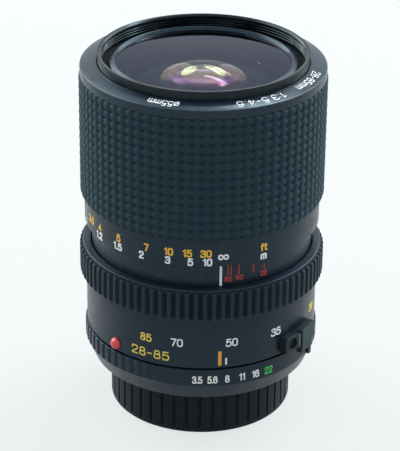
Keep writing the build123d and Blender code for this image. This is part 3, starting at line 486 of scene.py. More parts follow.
def element(radius: float, vertex: float, thickness: float, front: float, back: float,
            reach: float) -> list[Point]:
    """Section of a lens element.

    Args:
        radius: radius of the glass.
        vertex: height of its front vertex.
        thickness: thickness at the axis.
        front: radius of curvature of the front.
        back: radius of curvature of the back.
        reach: radius that the back curve reaches.

    Returns:
        Radius and height of each point, from the axis round to the axis.
    """
    def curve(bend: float, edge: float, height: float, steps: int = 24) -> list[Point]:
        """Points of one side, from the axis to its edge."""
        radii = [edge * step / steps for step in range(steps + 1)]
        return [(here, height - (bend - math.sqrt(bend * bend - here * here))) for here in radii]

    under = curve(back, reach, vertex - thickness)
    ledge = [(radius, under[-1][1])] if reach < radius else []
    return curve(front, radius, vertex) + ledge + under[::-1]


def skin(rows: Sequence[Sequence[int]], closed: bool = True) -> list[Face]:
    """Faces between rows of points.

    Args:
        rows: indices of the points of each row.
        closed: whether a row's end meets its start.

    Returns:
        The faces.
    """
    faces: list[Face] = []
    for row, following in zip(rows, rows[1:]):
        for step in range(len(row) if closed else len(row) - 1):
            after = (step + 1) % len(row)
            corners = dict.fromkeys((row[step], row[after], following[after], following[step]))
            if len(corners) > 2:
                faces.append(tuple(corners))
    return faces


def capped(count: int, loops: int) -> list[Face]:
    """Faces of a solid through loops of as many points each, with both of its ends closed."""
    rows = [range(count * loop, count * (loop + 1)) for loop in range(loops)]
    return skin(rows) + [tuple(rows[0]), tuple(rows[-1])]


def lathe(name: str, outline: Sequence[Point], turns: Sequence[float] | int = 256,
          shape: Shape | None = None, crease: float = CREASE) -> Piece:
    """Solid turned about the lens axis.

    Args:
        name: name of the piece.
        outline: radius and height of each point of the section; a point on the axis closes it there.
        turns: azimuths of the sections, or how many evenly spaced ones.
        shape: gives the radius at an azimuth, plain radius and height.
        crease: smallest angle between faces that stays a sharp edge, degrees.

    Returns:
        The piece.
    """
    if isinstance(turns, int):
        turns = [FULL_TURN * step / turns for step in range(turns)]
    verts: list[Vector] = []
    rows: list[Sequence[int]] = []
    for radius, height in outline:
        if radius < TINY:
            rows.append([len(verts)] * len(turns))
            verts.append(Vector((0, 0, height)) * MM)
        else:
            rows.append(range(len(verts), len(verts) + len(turns)))
            verts += [place(shape(azimuth, radius, height) if shape else radius, azimuth, height)
                      for azimuth in turns]
    return finished(name, verts, skin([*rows, rows[0]]), crease)


@dataclass(frozen=True)
class Side:
    """Flat place beside the lens axis: across to the right, up, and out from the axis."""

    azimuth: float

    def spot(self, across: float, up: float, out: float) -> Vector:
        """Point of this place, in metres."""
        turn = math.radians(self.azimuth)
        return Vector((out * math.sin(turn) + across * math.cos(turn),
                       across * math.sin(turn) - out * math.cos(turn), up)) * MM

    def loft(self, name: str, loops: Sequence[Ring], crease: float = CREASE) -> Piece:
        """Solid through closed loops of equal length.

        Args:
            name: name of the piece.
            loops: points of each loop and how far out it lies.
            crease: smallest angle between faces that stays a sharp edge, degrees.

        Returns:
            The piece.
        """
        verts = [self.spot(x, y, out) for points, out in loops for x, y in points]
        return finished(name, verts, capped(len(loops[0][0]), len(loops)), crease)


def sector(name: str, corners: Sequence[Point], start: float, turn: float, steps: int = 12) -> Piece:
    """Part of a turned ring.

    Args:
        name: name of the piece.
        corners: radius and height of each corner of its section.
        start: azimuth where it starts.
        turn: how far it goes round.
        steps: how many steps it takes round.

    Returns:
        The piece.
    """
    verts = [place(radius, start + turn * step / steps, height)
             for step in range(steps + 1) for radius, height in corners]
    return finished(name, verts, capped(len(corners), steps + 1))


def shown(name: str, data: bpy.types.ID) -> Piece:
    """New object in the scene.

    Args:
        name: its name.
        data: its mesh, lamp or camera.

    Returns:
        The object.
    """
    piece = bpy.data.objects.new(name, data)
    bpy.context.scene.collection.objects.link(piece)
    return piece


def finished(name: str, verts: Sequence[Vector], faces: Sequence[Face], crease: float = CREASE) -> Piece:
    """Object from points and faces, with its faces turned outwards and its flat parts crisp.

    Args:
        name: name of the piece.
        verts: points, in metres.
        faces: indices of each face's corners.
        crease: smallest angle between faces that stays a sharp edge, degrees.

    Returns:
        The piece.
    """
    mesh = bpy.data.meshes.new(name)
    mesh.from_pydata([tuple(spot) for spot in verts], [], faces)
    work = bmesh.new()
    work.from_mesh(mesh)
    bmesh.ops.remove_doubles(work, verts=work.verts, dist=1e-7)
    bmesh.ops.recalc_face_normals(work, faces=work.faces)
    work.to_mesh(mesh)
    work.free()
    mesh.shade_smooth()
    mesh.set_sharp_from_angle(angle=math.radians(crease))
    return shown(name, mesh)


def dress(piece: Piece, body: str, finish: Look, *nodes: str) -> None:
    """Give a piece its finish and its body, and the CAD nodes that it stands for.

    Args:
        piece: the new piece.
        body: CAD body that it rides on.
        finish: its finish.
        nodes: CAD nodes that it replaces.
    """
    piece.data.materials.clear()
    piece.data.materials.append(finish.make())
    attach(piece, body)
    if nodes:
        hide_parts(*nodes)
    log.info("%s rides on %s", piece.name, body)


def keep(finish: Look, *nodes: str) -> None:
    """Finish CAD nodes that stay as they are.

    Args:
        finish: their finish.
        nodes: their names.
    """
    for node in nodes:
        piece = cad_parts[node]
        for slot in piece.material_slots:
            slot.material = finish.make()
        if not piece.material_slots:
            piece.data.materials.append(finish.make())
        log.info("%s keeps its CAD shape", node)


@dataclass
class Lettering:
    """Words or numbers printed on a surface of revolution."""

    body: str
    finish: Finish
    height: float                         # of a digit with its stroke
    radius: float
    weight: float = 0.3                   # width of a stroke
    slope: float = 0.0                    # rise of a front face for each millimetre up the letter
    outward: bool = False                 # on a front face, read with the tops outwards
    caps: Triple = (30.0, 60.0, 82.0)     # turns of the points on a stroke's round ends
    least_miter: float = 0.55             # keeps the point of a sharp corner short

    def surface(self, along: float, up: float, depth: float, azimuth: float, base: float) -> Vector:
        """Place of one point of a letter.

        Args:
            along: distance along the line from the word's middle.
            up: distance up the letter from its middle.
            depth: how far above the surface.
            azimuth: middle of the word.
            base: height on the lens of the letters' middle.

        Returns:
            The point, in metres.
        """
        turn = math.degrees(along / self.radius)
        if self.outward:
            return place(self.radius + up, azimuth - turn, base + up * self.slope + depth)
        return place(self.radius + depth, azimuth + turn, base + up)

    def ribbon(self, line: Sequence[Point], closed: bool) -> tuple[list[Vector], list[Vector]]:
        """Both edges of a stroke, with round ends.

        Args:
            line: middle of the stroke.
            closed: whether it is a loop.

        Returns:
            The left and the right edge.
        """
        spots = [Vector(spot) for spot in line]
        half = 0.5 * self.weight
        stations: list[tuple[Vector, Vector, float]] = []
        for index, spot in enumerate(spots):
            before = spots[index - 1] if index or closed else spot
            after = spots[(index + 1) % len(spots)] if index < len(spots) - 1 or closed else spot
            ahead = (spot - before).normalized() if spot != before else (after - spot).normalized()
            beyond = (after - spot).normalized() if after != spot else ahead
            middle = (ahead + beyond).normalized()
            reach = half / max(self.least_miter, middle.dot(ahead))
            stations.append((spot, Vector((-middle.y, middle.x)), reach))
        if not closed:
            ends = []
            for end, beside in ((0, 1), (-1, -2)):
                away = (spots[end] - spots[beside]).normalized()
                ends.append([(spots[end] + away * half * math.sin(cap), stations[end][1],
                              half * math.cos(cap)) for cap in map(math.radians, self.caps)])
            stations = ends[0][::-1] + stations + ends[1]
        left, right = ([spot + side * reach * sign for spot, side, reach in stations] for sign in (1, -1))
        return left, right

    def write(self, name: str, words: str, azimuth: float, base: float, width: float | None = None) -> None:
        """Print words on the surface.

        Args:
            name: name of the piece.
            words: what to print.
            azimuth: middle of the words.
            base: height on the lens of the letters' middle.
            width: length of the words, or None for the letters' own.
        """
        rise = self.height - self.weight
        plain = (sum(LETTERS[letter][0] for letter in words) + LETTER_GAP * (len(words) - 1)) * rise
        across = (width - self.weight) / plain if width else 1.0
        verts: list[Vector] = []
        faces: list[Face] = []
        along = -0.5 * plain
        out = PROUD
        for letter in words:
            span, strokes = LETTERS[letter]
            for pen, points in strokes:
                corners = [((along + x * rise) * across, (y - 0.5) * rise) for x, y in points]
                closed = pen is Pen.LOOP
                edges = self.ribbon(corners if pen is Pen.STRAIGHT else softened(corners, closed), closed)
                start, count = len(verts), len(edges[0])
                verts += [self.surface(x, y, depth, azimuth, base)
                          for depth in (out, -SUNK) for edge in edges for x, y in edge]
                rows = [range(start + count * row, start + count * (row + 1)) for row in range(4)]
                for one, other in ((0, 1), (2, 3), (0, 2), (1, 3)):
                    faces += skin([rows[one], rows[other]], closed)
                if not closed:
                    faces += [tuple(rows[row][end] for row in (0, 1, 3, 2)) for end in (0, -1)]
                out += LAYER
            along += (span + LETTER_GAP) * rise
        dress(finished(name, verts, faces), self.body, self.finish)

    def stroke(self, name: str, azimuth: float, low: float, high: float, width: float) -> None:
        """Print an upright line on the surface.

        Args:
            name: name of the piece.
            azimuth: middle of the line.
            low: height of its foot on the lens.
            high: height of its top.
            width: its width.
        """
        middle = 0.5 * (low + high)
        verts = [self.surface(side * width, up - middle, depth, azimuth, middle)
                 for depth in (-SUNK, PROUD) for up in (low, high) for side in (-0.5, 0, 0.5)]
        faces = [(0, 1, 4, 3), (1, 2, 5, 4), (6, 7, 10, 9), (7, 8, 11, 10), (0, 1, 7, 6), (1, 2, 8, 7),
                 (3, 4, 10, 9), (4, 5, 11, 10), (0, 3, 9, 6), (2, 5, 11, 8)]
        dress(finished(name, verts, faces), self.body, self.finish)


@dataclass
class FrontUnit:
    """Filter ring, name ring, retaining ring and the front glasses."""

    body: str = "front_barrel"
    thread_pitch: float = 0.75
    thread_depth: float = 0.42
    thread_crest: float = 27.1
    thread_turns: float = 3.6
    thread_samples: int = 8               # rows of points in each turn
    mouth_drop: float = 0.35              # from the filter ring's top to its thread
    edge_drop: float = 0.32               # from the name ring's top to its outer edge
    name_rise: float = 0.95               # from that edge to the ring's bore
    name_gap: float = 0.08                # round the filter ring
    name_floor: float = 1.5               # from the ring's foot to the end of that bore
    skirt: float = 0.55
    name_radius: float = 30.6
    name_height: float = 2.2
    name_weight: float = 0.2
    name_lift: float = 0.02               # of the print above the slope
    words: tuple[tuple[str, str, float, float], ...] = (
        ("filter_size", "ø55mm", -19.2, 8.4), ("speed", "1:3.5-4.5", 29.8, 14.2),
        ("range", "28-85mm", 64.8, 12.6))
    # Name, node, thickness, front and back curve, reach of the back curve by the radius, coating
    elements: tuple[tuple[str, str, float, float, float, float, CoatedGlass], ...] = (
        ("front_glass", "glass_1", 2.2, 399.3, 32.0, 0.7934, FRONT_GLASS),
        ("domed_glass", "glass_2", 5.694, 14.0, 20.8, 1.0, DOME_GLASS),
        ("third_glass", "glass_3", 3.9, 23.4, 78.0, 1.0, THIRD_GLASS))
    paint_out: float = 0.03               # from a glass's side to its edge paint
    paint_in: float = 0.09

    def build(self) -> None:
        """Build every piece of the front."""
        self.filter_ring()
        self.name_ring()
        self.retaining_ring()
        self.glasses()
        self.sizes()
        keep(INNER_BLACK, "front_barrel", "front_cell", "front_cell_rings")

    def filter_ring(self) -> None:
        """Ring with the helical filter thread."""
        outer, low, top = extent("filter_ring")
        crest, root = self.thread_crest, self.thread_crest + self.thread_depth
        mouth = top - self.mouth_drop
        start = mouth - self.thread_turns * self.thread_pitch
        step = self.thread_pitch / self.thread_samples
        outline = [(outer, low)] + rounded([(outer, top, 0.22), (crest + 0.3, top, 0.15)])
        outline.append((crest + 0.1, mouth + 0.12))
        height = mouth
        while height > start:
            outline.append((crest, height))
            height -= step
        outline += [(root, start - step), (root, low)]

        def thread(azimuth: float, radius: float, height: float) -> float:
            """Radius of the thread's flank.

            Args:
                azimuth: azimuth of the point.
                radius: radius of the crest, or of a point off the thread.
                height: height of the point.

            Returns:
                The radius there.
            """
            if radius > crest + TINY:
                return radius
            phase = (height / self.thread_pitch + azimuth / FULL_TURN) % 1.0
            groove = 1 - abs(2 * phase - 1)
            fade = smooth(mouth, mouth - self.thread_pitch, height)
            return crest + self.thread_depth * fade * smooth(0.1, 0.9, groove)

        dress(lathe("filter_ring_threaded", outline, 240, thread, 40.0), self.body, THREAD_BLACK,
              "filter_ring")

    def name_ring(self) -> None:
        """Sloped ring round the filter ring."""
        inner, _, _ = extent("filter_ring")
        outer, low, top = extent("name_ring")
        edge = top - self.edge_drop
        bore, floor = inner + self.name_gap, low + self.name_floor
        outline = rounded([
            (outer - self.skirt, low, 0), (outer, low, 0.12), (outer, edge, 0.3),
            (bore, edge + self.name_rise, 0.1), (bore, floor, 0), (outer - self.skirt, floor, 0)])
        dress(lathe("name_ring_turned", outline), self.body, FRONT_ENAMEL, "name_ring")

    def retaining_ring(self) -> None:
        """Lipped ring that holds the front glass, with fine ledges inside."""
        outer, low, top = extent("front_retaining_ring")
        outline = rounded([
            (outer, low, 0), (outer, top - 0.6, 0.25), (outer - 1.43, top, 0.16),
            (outer - 1.72, top - 0.45, 0.1), (outer - 2.02, top - 0.9, 0.03), (outer - 1.0, top - 0.9, 0),
            (outer - 0.97, low, 0)])
        dress(lathe("front_retaining_ring_turned", outline), self.body, FRONT_ENAMEL,
              "front_retaining_ring")

    def glasses(self) -> None:
        """Front glass, the domed one under it and the one behind, each with paint on its side."""
        thin, thick = self.paint_out, self.paint_in
        for name, node, thickness, front, back, share, finish in self.elements:
            radius, foot, vertex = extent(node)
            reach = share * radius
            outline = element(radius, vertex, thickness, front, back, reach)
            dress(lathe(name, outline, 160, crease=30.0), self.body, finish, node)
            rim = vertex - radius * radius / (2 * front)
            ledge = [(reach + thin, foot + thin), (reach + thin, foot + thick)] if share < 1 else []
            outline = [(radius - thin, rim - thick), (radius - thin, foot + thin), *ledge,
                       (radius - thick, foot + thick), (radius - thick, rim - thick)]
            dress(lathe(f"{name}_edge_paint", outline, 160), self.body, EDGE_PAINT_AND_SLOT_SHADE)

    def sizes(self) -> None:
        """Plain sizes on the name ring."""
        inner, _, _ = extent("filter_ring")
        outer, _, top = extent("name_ring")
        slope = -self.name_rise / (outer - inner)
        base = top - self.edge_drop - slope * (outer - self.name_radius) + self.name_lift
        print_on = Lettering(self.body, WHITE_INK, self.name_height, self.name_radius, self.name_weight,
                             slope, True)
        for name, words, azimuth, width in self.words:
            print_on.write(f"name_{name}", words, azimuth, base, width)


@dataclass
class FocusUnit:
    """Focus ring with its distance band, and the waffled rubber round it."""

    body: str = "focus"
    columns: int = 78
    rows: int = 14
    samples: int = 10                     # rows and columns of points in each pillow
    depth: float = 0.95
    flat_share: float = 0.3               # of a pillow's half width
    side_dip: float = 0.3                 # how deep the pillows' sides and corners lie, in depths
    corner_dip: float = 0.4
    foot_height: float = 0.3
    foot_inset: float = 0.7
    band_radius: float = 32.1
    tube_radius: float = 32.0
    bore: float = 31.0
    band_bore: float = 29.71
    band_floor: float = 1.2
    digit_height: float = 2.25
    digit_weight: float = 0.46
    feet_height: float = 59.1
    feet: tuple[tuple[str, float], ...] = (
        ("3", -86.0), ("3.5", -67.3), ("4", -57.5), ("5", -43.0), ("7", -26.6), ("10", -15.4),
        ("15", -6.5), ("30", 2.3), ("ft", 30.9))
    metres_height: float = 56.6
    metres: tuple[tuple[str, float], ...] = (
        ("0.8", -105.0), ("1", -76.0), ("1.2", -58.2), ("1.5", -43.6), ("2", -29.3), ("3", -15.8),
        ("5", -5.0), ("10", 3.0), ("m", 30.8))
    infinity: Triple = (10.5, 57.95, 2.9)

    def build(self) -> None:
        """Build the focus ring's pieces."""
        self.grip()
        self.ring()
        self.scale()
        keep(STEEL, "focus_drive_keys")

    def grip(self) -> None:
        """Rubber with rows of small pillows."""
        outer, low, top = extent("focus_grip")
        root, inset = outer - self.depth, outer - self.foot_inset
        count = self.rows * self.samples
        foot = low + self.foot_height
        pitch = (top - foot) / self.rows
        outline = [(inset, low), (inset, foot)]
        outline += [(outer, foot + (top - foot) * step / count) for step in range(count + 1)]
        outline += [(self.tube_radius, top), (self.tube_radius, low)]

        def pillow(azimuth: float, radius: float, height: float) -> float:
            """Radius of the waffled rubber.

            Args:
                azimuth: azimuth of the point.
                radius: its radius, where there are no pillows.
                height: height of the point.

            Returns:
                The radius there.
            """
            if radius < outer - TINY:
                return radius
            beside, above = (smooth(self.flat_share, 1.0, abs(2 * (share % 1.0) - 1))
                             for share in (azimuth * self.columns / FULL_TURN, (height - foot) / pitch))
            dip = self.side_dip * (beside + above) + self.corner_dip * beside * above
            return root + self.depth * (1 - dip)

        piece = lathe("focus_grip_waffled", outline, self.columns * self.samples, pillow, 80.0)
        dress(piece, self.body, FOCUS_RUBBER, "focus_grip")

    def ring(self) -> None:
        """Metal ring: distance band below, tube under the rubber."""
        _, low, top = extent("focus_ring")
        _, step, _ = extent("focus_grip")
        floor = step + self.band_floor
        outline = rounded([
            (self.band_bore, low, 0), (self.band_radius, low, 0.15), (self.band_radius, step, 0),
            (self.tube_radius, step, 0), (self.tube_radius, top, 0), (self.bore, top, 0),
            (self.bore, floor, 0), (self.band_bore, floor, 0)])
        dress(lathe("focus_ring_turned", outline), self.body, ENAMEL, "focus_ring")

    def scale(self) -> None:
        """Distances in feet and metres."""
        feet, metres = (Lettering(self.body, finish, self.digit_height, self.band_radius, self.digit_weight)
                        for finish in (AMBER_INK, WHITE_INK))
        for number, (words, azimuth) in enumerate(self.feet):
            feet.write(f"feet_{number}", words, azimuth, self.feet_height)
        for number, (words, azimuth) in enumerate(self.metres):
            metres.write(f"metres_{number}", words, azimuth, self.metres_height)
        metres.write("infinity", "∞", *self.infinity)


@dataclass
class IndexSleeve:
    """Sleeve between the focus and zoom rings, with the index line."""

    body: str = "front_carriage"
    radius: float = 30.26
    index: tuple[float, ...] = (9.95, 48.6, 54.4, 0.62)
    red_width: float = 0.28
    red_marks: tuple[tuple[str, float, float, float], ...] = (
        ("a", 13.66, 51.6, 54.5), ("b", 15.22, 51.6, 54.5), ("c", 19.3, 51.5, 54.4),
        ("d", 27.1, 51.3, 53.9), ("e", 33.5, 51.2, 53.0))
    red_height: float = 1.55
    red_weight: float = 0.26
    red_numbers: tuple[tuple[str, float, float], ...] = (
        ("85", 13.8, 50.4), ("50", 19.6, 50.5), ("28", 33.4, 50.25))

    def build(self) -> None:
        """Finish the sleeve and print its marks."""
        keep(ENAMEL, "index_sleeve")
        keep(INNER_BLACK, "front_carriage")
        keep(BRASS, "front_rollers")
        red = Lettering(self.body, RED_INK, self.red_height, self.radius, self.red_weight)
        replace(red, finish=WHITE_INK).stroke("index_line", *self.index)
        for name, azimuth, low, high in self.red_marks:
            red.stroke(f"infrared_line_{name}", azimuth, low, high, self.red_width)
        for number, azimuth, base in self.red_numbers:
            red.write(f"infrared_{number}", number, azimuth, base)


@dataclass
class ZoomUnit:
    """Zoom ring with the focal lengths, and its ribbed rubber."""

    body: str = "zoom"
    ribs: int = 87
    samples: int = 16                     # columns of points in each rib
    rib_depth: float = 0.8
    rib_share: float = 0.5                # of a rib's pitch
    flank_share: float = 0.14
    crown: float = 0.08                   # how far a rib's top is rounded off, in depths
    ridge_share: float = 0.45             # height of the ridge between the ribs, in depths
    ridge_flank: Point = (0.78, 0.97)
    end_share: float = 0.55               # depth of the ribs at their ends, in depths
    end_length: float = 0.6
    body_radius: float = 32.2
    skirt_radius: float = 31.85
    skirt_bore: float = 29.64
    skirt_drop: float = 0.08
    cavity_bore: float = 30.61
    rim_radius: float = 32.78
    rim_height: float = 0.75
    floor: float = 1.1
    digit_height: float = 2.4
    digit_weight: float = 0.4
    numbers: tuple[tuple[str, float, Finish], ...] = (
        ("85", -27.2, YELLOW_INK), ("70", -11.3, WHITE_INK), ("50", 15.4, WHITE_INK),
        ("35", 39.75, WHITE_INK), ("28", 72.0, YELLOW_INK))
    number_height: float = 32.0
    number_width: float = 3.4

    def build(self) -> None:
        """Build the zoom ring's pieces."""
        self.ring()
        self.grip()
        keep(STEEL, "zoom_drive_key")
        keep(INNER_BLACK, "cam_tube")
        for words, azimuth, finish in self.numbers:
            print_on = Lettering(self.body, finish, self.digit_height, self.skirt_radius, self.digit_weight)
            print_on.write(f"focal_length_{words}", words, azimuth, self.number_height, self.number_width)

    def ring(self) -> None:
        """Metal ring with the skirt."""
        _, low, top = extent("zoom_ring")
        _, grip, _ = extent("zoom_grip")
        rim, floor = top - self.rim_height, grip + self.floor
        outline = rounded([
            (self.skirt_bore, low, 0), (self.skirt_radius, low - self.skirt_drop, 0.03),
            (self.skirt_radius, grip, 0), (self.body_radius, grip, 0), (self.body_radius, rim, 0),
            (self.rim_radius, rim, 0.1), (self.rim_radius, top, 0.3), (self.cavity_bore, top, 0.2),
            (self.cavity_bore, floor, 0), (self.skirt_bore, floor, 0)])
        dress(lathe("zoom_ring_turned", outline), self.body, ENAMEL, "zoom_ring")

    def grip(self) -> None:
        """Rubber with upright ribs."""
        outer, low, top = extent("zoom_grip")
        root = outer - self.rib_depth
        ends = (0.0, 0.05, 0.15, 0.3, 0.5, 0.8)
        heights = [low + end for end in ends] + [top - end for end in reversed(ends)]
        outline = [(outer, height) for height in heights] + [(self.body_radius, top), (self.body_radius, low)]

        def rib(azimuth: float, radius: float, height: float) -> float:
            """Radius of the ribbed rubber.

            Args:
                azimuth: azimuth of the point.
                radius: its radius, where there are no ribs.
                height: height of the point.

            Returns:
                The radius there.
            """
            if radius < outer - TINY:
                return radius
            share = abs(2 * (azimuth * self.ribs / FULL_TURN % 1.0) - 1)
            flank = smooth(self.rib_share - self.flank_share, self.rib_share + self.flank_share, share)
            across = (1 - self.crown * share * share) * (1 - flank)
            across += self.ridge_share * smooth(*self.ridge_flank, share)
            full = smooth(0.0, self.end_length, min(height - low, top - height))
            return root + self.rib_depth * across * (self.end_share + (1 - self.end_share) * full)

        piece = lathe("zoom_grip_ribbed", outline, self.ribs * self.samples, rib, 80.0)
        dress(piece, self.body, ZOOM_RUBBER, "zoom_grip")


@dataclass
class BarrelUnit:
    """Fixed barrel with its red bead, its marks and the macro switch's block."""

    body: str = "barrel"
    radius: float = 31.85
    bead_azimuth: float = -45.85
    bead_height: float = 26.456
    bead_radius: float = 1.72
    bead_dome: float = 1.55
    # First and last azimuth of the switch's parts and how far out each reaches
    dish_part: Triple = (43.0, 53.4, 33.84)
    step_part: Triple = (53.4, 63.8, 32.5)
    end_part: Triple = (63.8, 67.4, 33.88)
    switch_low: float = 24.8
    switch_high: float = 29.5
    switch_sunk: float = 1.3
    squareness: int = 14                  # power that gives the dished part its square outline
    # Radius and depth of each circle of the dish and of the screw in it
    dish_rings: tuple[Point, ...] = ((1.75, 0), (1.6, 0.12), (1.5, 0.8), (0.05, 0.95))
    head_rings: tuple[Point, ...] = ((1.15, 1.05), (1.15, 0.78), (1.02, 0.68), (0.05, 0.68))
    slot_reach: float = 0.78
    slot_half: float = 0.12
    slot_depths: Point = (0.85, 0.665)
    slots: tuple[tuple[float, str], ...] = ((35.0, "a"), (125.0, "b"))
    range_height: float = 2.65
    range_weight: float = 0.36
    range_place: Triple = (-25.2, 27.4, 11.3)
    # Azimuth, foot, top and width of each line
    marks: tuple[tuple[str, Finish, tuple[float, ...]], ...] = (
        ("zoom_index", ORANGE_INK, (9.6, 25.2, 29.57, 0.9)),
        ("infrared_index", WHITE_INK, (12.7, 25.4, 27.4, 0.5)))

    def build(self) -> None:
        """Build the barrel's pieces."""
        self.bead()
        self.blocks()
        self.dish()
        keep(ENAMEL, "main_barrel")
        keep(STEEL, "click_ball", "click_spring", "mount_screws")
        keep(CHROME, "bayonet_mount")
        gold = Lettering(self.body, YELLOW_INK, self.range_height, self.radius, self.range_weight)
        gold.write("zoom_range", "28-85", *self.range_place)
        for name, finish, sizes in self.marks:
            replace(gold, finish=finish).stroke(name, *sizes)

    def bead(self) -> None:
        """Round red bead for mounting by touch."""
        turns = [math.radians(turn) for turn in range(0, 360, 12)]
        loops = [(circle(self.bead_radius, 0, self.bead_height, turns), self.radius - 0.8)]
        for rise in map(math.radians, (0, 10, 20, 30, 40, 50, 60, 70, 80, 87)):
            loops.append((circle(self.bead_radius * math.cos(rise), 0, self.bead_height, turns),
                          self.radius - 0.1 + self.bead_dome * math.sin(rise)))
        dress(Side(self.bead_azimuth).loft("red_bead", loops, 60.0), self.body, BEAD_RED, "index_bead")

    def middle(self, part: Triple) -> tuple[Side, float, float]:
        """Where a part of the switch stands.

        Args:
            part: its first and last azimuth and its reach.

        Returns:
            Its place, half its width and how far out its face lies.
        """
        first, last, face = part
        return Side(0.5 * (first + last)), face * math.tan(math.radians(0.5 * (last - first))), face

    def blocks(self) -> None:
        """Low part of the switch under the button, and its end."""
        low, high = self.switch_low, self.switch_high
        for name, part in (("step", self.step_part), ("end", self.end_part)):
            side, half, face = self.middle(part)
            outer = bar(-half, half, low, high, 0.3)
            inner = bar(-half + 0.1, half - 0.1, low + 0.1, high - 0.1, 0.25)
            loops = [(outer, self.radius - self.switch_sunk), (outer, face - 0.12), (inner, face)]
            dress(side.loft(f"macro_block_{name}", loops), self.body, SWITCH_PLASTIC)

    def dish(self) -> None:
        """Dished part of the switch with its screw, painted shade in the screw's slots and a painted
        highlight along its edge.
        """
        low, high, power = self.switch_low, self.switch_high, self.squareness
        side, half, face = self.middle(self.dish_part)
        middle = 0.5 * (low + high)
        turns = [math.radians(FULL_TURN * step / 96) for step in range(96)]
        outer = []
        for turn in turns:
            across, up = math.cos(turn), math.sin(turn)
            reach = (abs(across / half) ** power + abs(2 * up / (high - low)) ** power) ** (-1 / power)
            outer.append((reach * across, middle + reach * up))
        inner = [(0.955 * x, middle + 0.945 * (y - middle)) for x, y in outer]

        def rings(sizes: Sequence[Point]) -> list[Ring]:
            """Circles round the dish, from the radius and the depth of each."""
            return [(circle(radius, 0, middle, turns), face - depth) for radius, depth in sizes]

        loops = [(outer, self.radius - self.switch_sunk), (outer, face - 0.14), (inner, face),
                 *rings(self.dish_rings)]
        dress(side.loft("macro_block", loops), self.body, SWITCH_PLASTIC, "macro_base")
        dress(side.loft("macro_screw_head", rings(self.head_rings)), self.body, SCREW_BLACK, "macro_screw")
        # Near-black sheet in each of the screw's two slots: painted shade standing for the dark recess of the
        # slot
        for turn, name in self.slots:
            along, wide = (size * Vector((math.cos(math.radians(turn)), math.sin(math.radians(turn))))
                           for size in (self.slot_reach, self.slot_half))
            cross = [(along.x * end - wide.y * wing, middle + along.y * end + wide.x * wing)
                     for end, wing in ((-1, -1), (1, -1), (1, 1), (-1, 1))]
            loops = [(cross, face - depth) for depth in self.slot_depths]
            dress(side.loft(f"macro_screw_slot_shade_{name}", loops), self.body, EDGE_PAINT_AND_SLOT_SHADE)
        # Pale strip along the right edge of the dished part: a painted highlight where that edge catches the
        # light
        edge = bar(half - 0.5, half - 0.08, low + 0.3, high - 0.3, 0.12)
        dress(side.loft("macro_block_painted_highlight", [(edge, face - 0.3), (edge, face + 0.02)]), self.body, PAINTED_HIGHLIGHT_EDGE)


@dataclass
class MacroButton:
    """Sliding button of the macro switch, knurled on its face."""

    body: str = "macro_button"
    azimuth: float = 58.6
    half: float = 2.98
    low: float = 22.92
    high: float = 29.9
    face: float = 34.42
    back: float = 32.72
    bevel: float = 0.22
    stem: tuple[float, float, float, float] = (-0.8, 0.8, 25.3, 26.8)
    knurl_columns: int = 7
    knurl_rows: int = 9
    knurl_samples: int = 6                # rows and columns of points in each blunt point
    knurl_height: float = 0.2

    def build(self) -> None:
        """Build the button, its knurled face, its foot and its stem."""
        side, bevel, half = Side(self.azimuth), self.bevel, self.half
        base = self.face - self.knurl_height
        outer = bar(-half, half, self.low, self.high, 0.25)
        inner = bar(bevel - half, half - bevel, self.low + bevel, self.high - bevel, 0.12)
        loops = [(outer, self.back), (outer, base - bevel), (inner, base)]
        dress(side.loft("macro_button_body", loops), self.body, SWITCH_PLASTIC, "macro_slide")
        self.knurl(side, base)
        foot = bar(half - 1.45, half - 0.1, self.low - 2.4, self.low + 0.6, 0.2)
        stem = bar(*self.stem, 0.2)
        for name, loops in (("foot", [(foot, self.back + 0.2), (foot, self.face - 0.5)]),
                            ("stem", [(stem, self.back - 0.9), (stem, self.back + 0.1)])):
            dress(side.loft(f"macro_button_{name}", loops), self.body, SWITCH_PLASTIC)

    def knurl(self, side: Side, base: float) -> None:
        """Rows of small blunt points on the face.

        Args:
            side: place of the button.
            base: how far out the points stand.
        """
        samples = self.knurl_samples
        across, up = self.knurl_columns * samples, self.knurl_rows * samples
        left, low = 0.45 - self.half, self.low + 0.55
        width, height = -2 * left, self.high - 0.55 - low
        verts: list[Vector] = []
        for row in range(up + 1):
            for column in range(across + 1):
                dip = sum(smooth(0.25, 1.0, abs(2 * (step / samples % 1.0) - 1)) for step in (column, row))
                edge = row in (0, up) or column in (0, across)
                out = base - 0.05 if edge else base + self.knurl_height * max(0.0, 1 - 0.75 * dip)
                verts.append(side.spot(left + width * column / across, low + height * row / up, out))
        count = across + 1
        rows = [range(count * row, count * (row + 1)) for row in range(up + 1)]
        rim = [*rows[0], *(row[-1] for row in rows[1:]), *rows[-1][-2::-1],
               *(row[0] for row in rows[-2:0:-1])]
        under = range(len(verts), len(verts) + len(rim))
        verts += [verts[index] - side.spot(0, 0, 0.3) for index in rim]
        faces = skin(rows, False) + skin([rim, under]) + [tuple(under)]
        dress(finished("macro_button_knurl", verts, faces, 60.0), self.body, BUTTON_FACE)


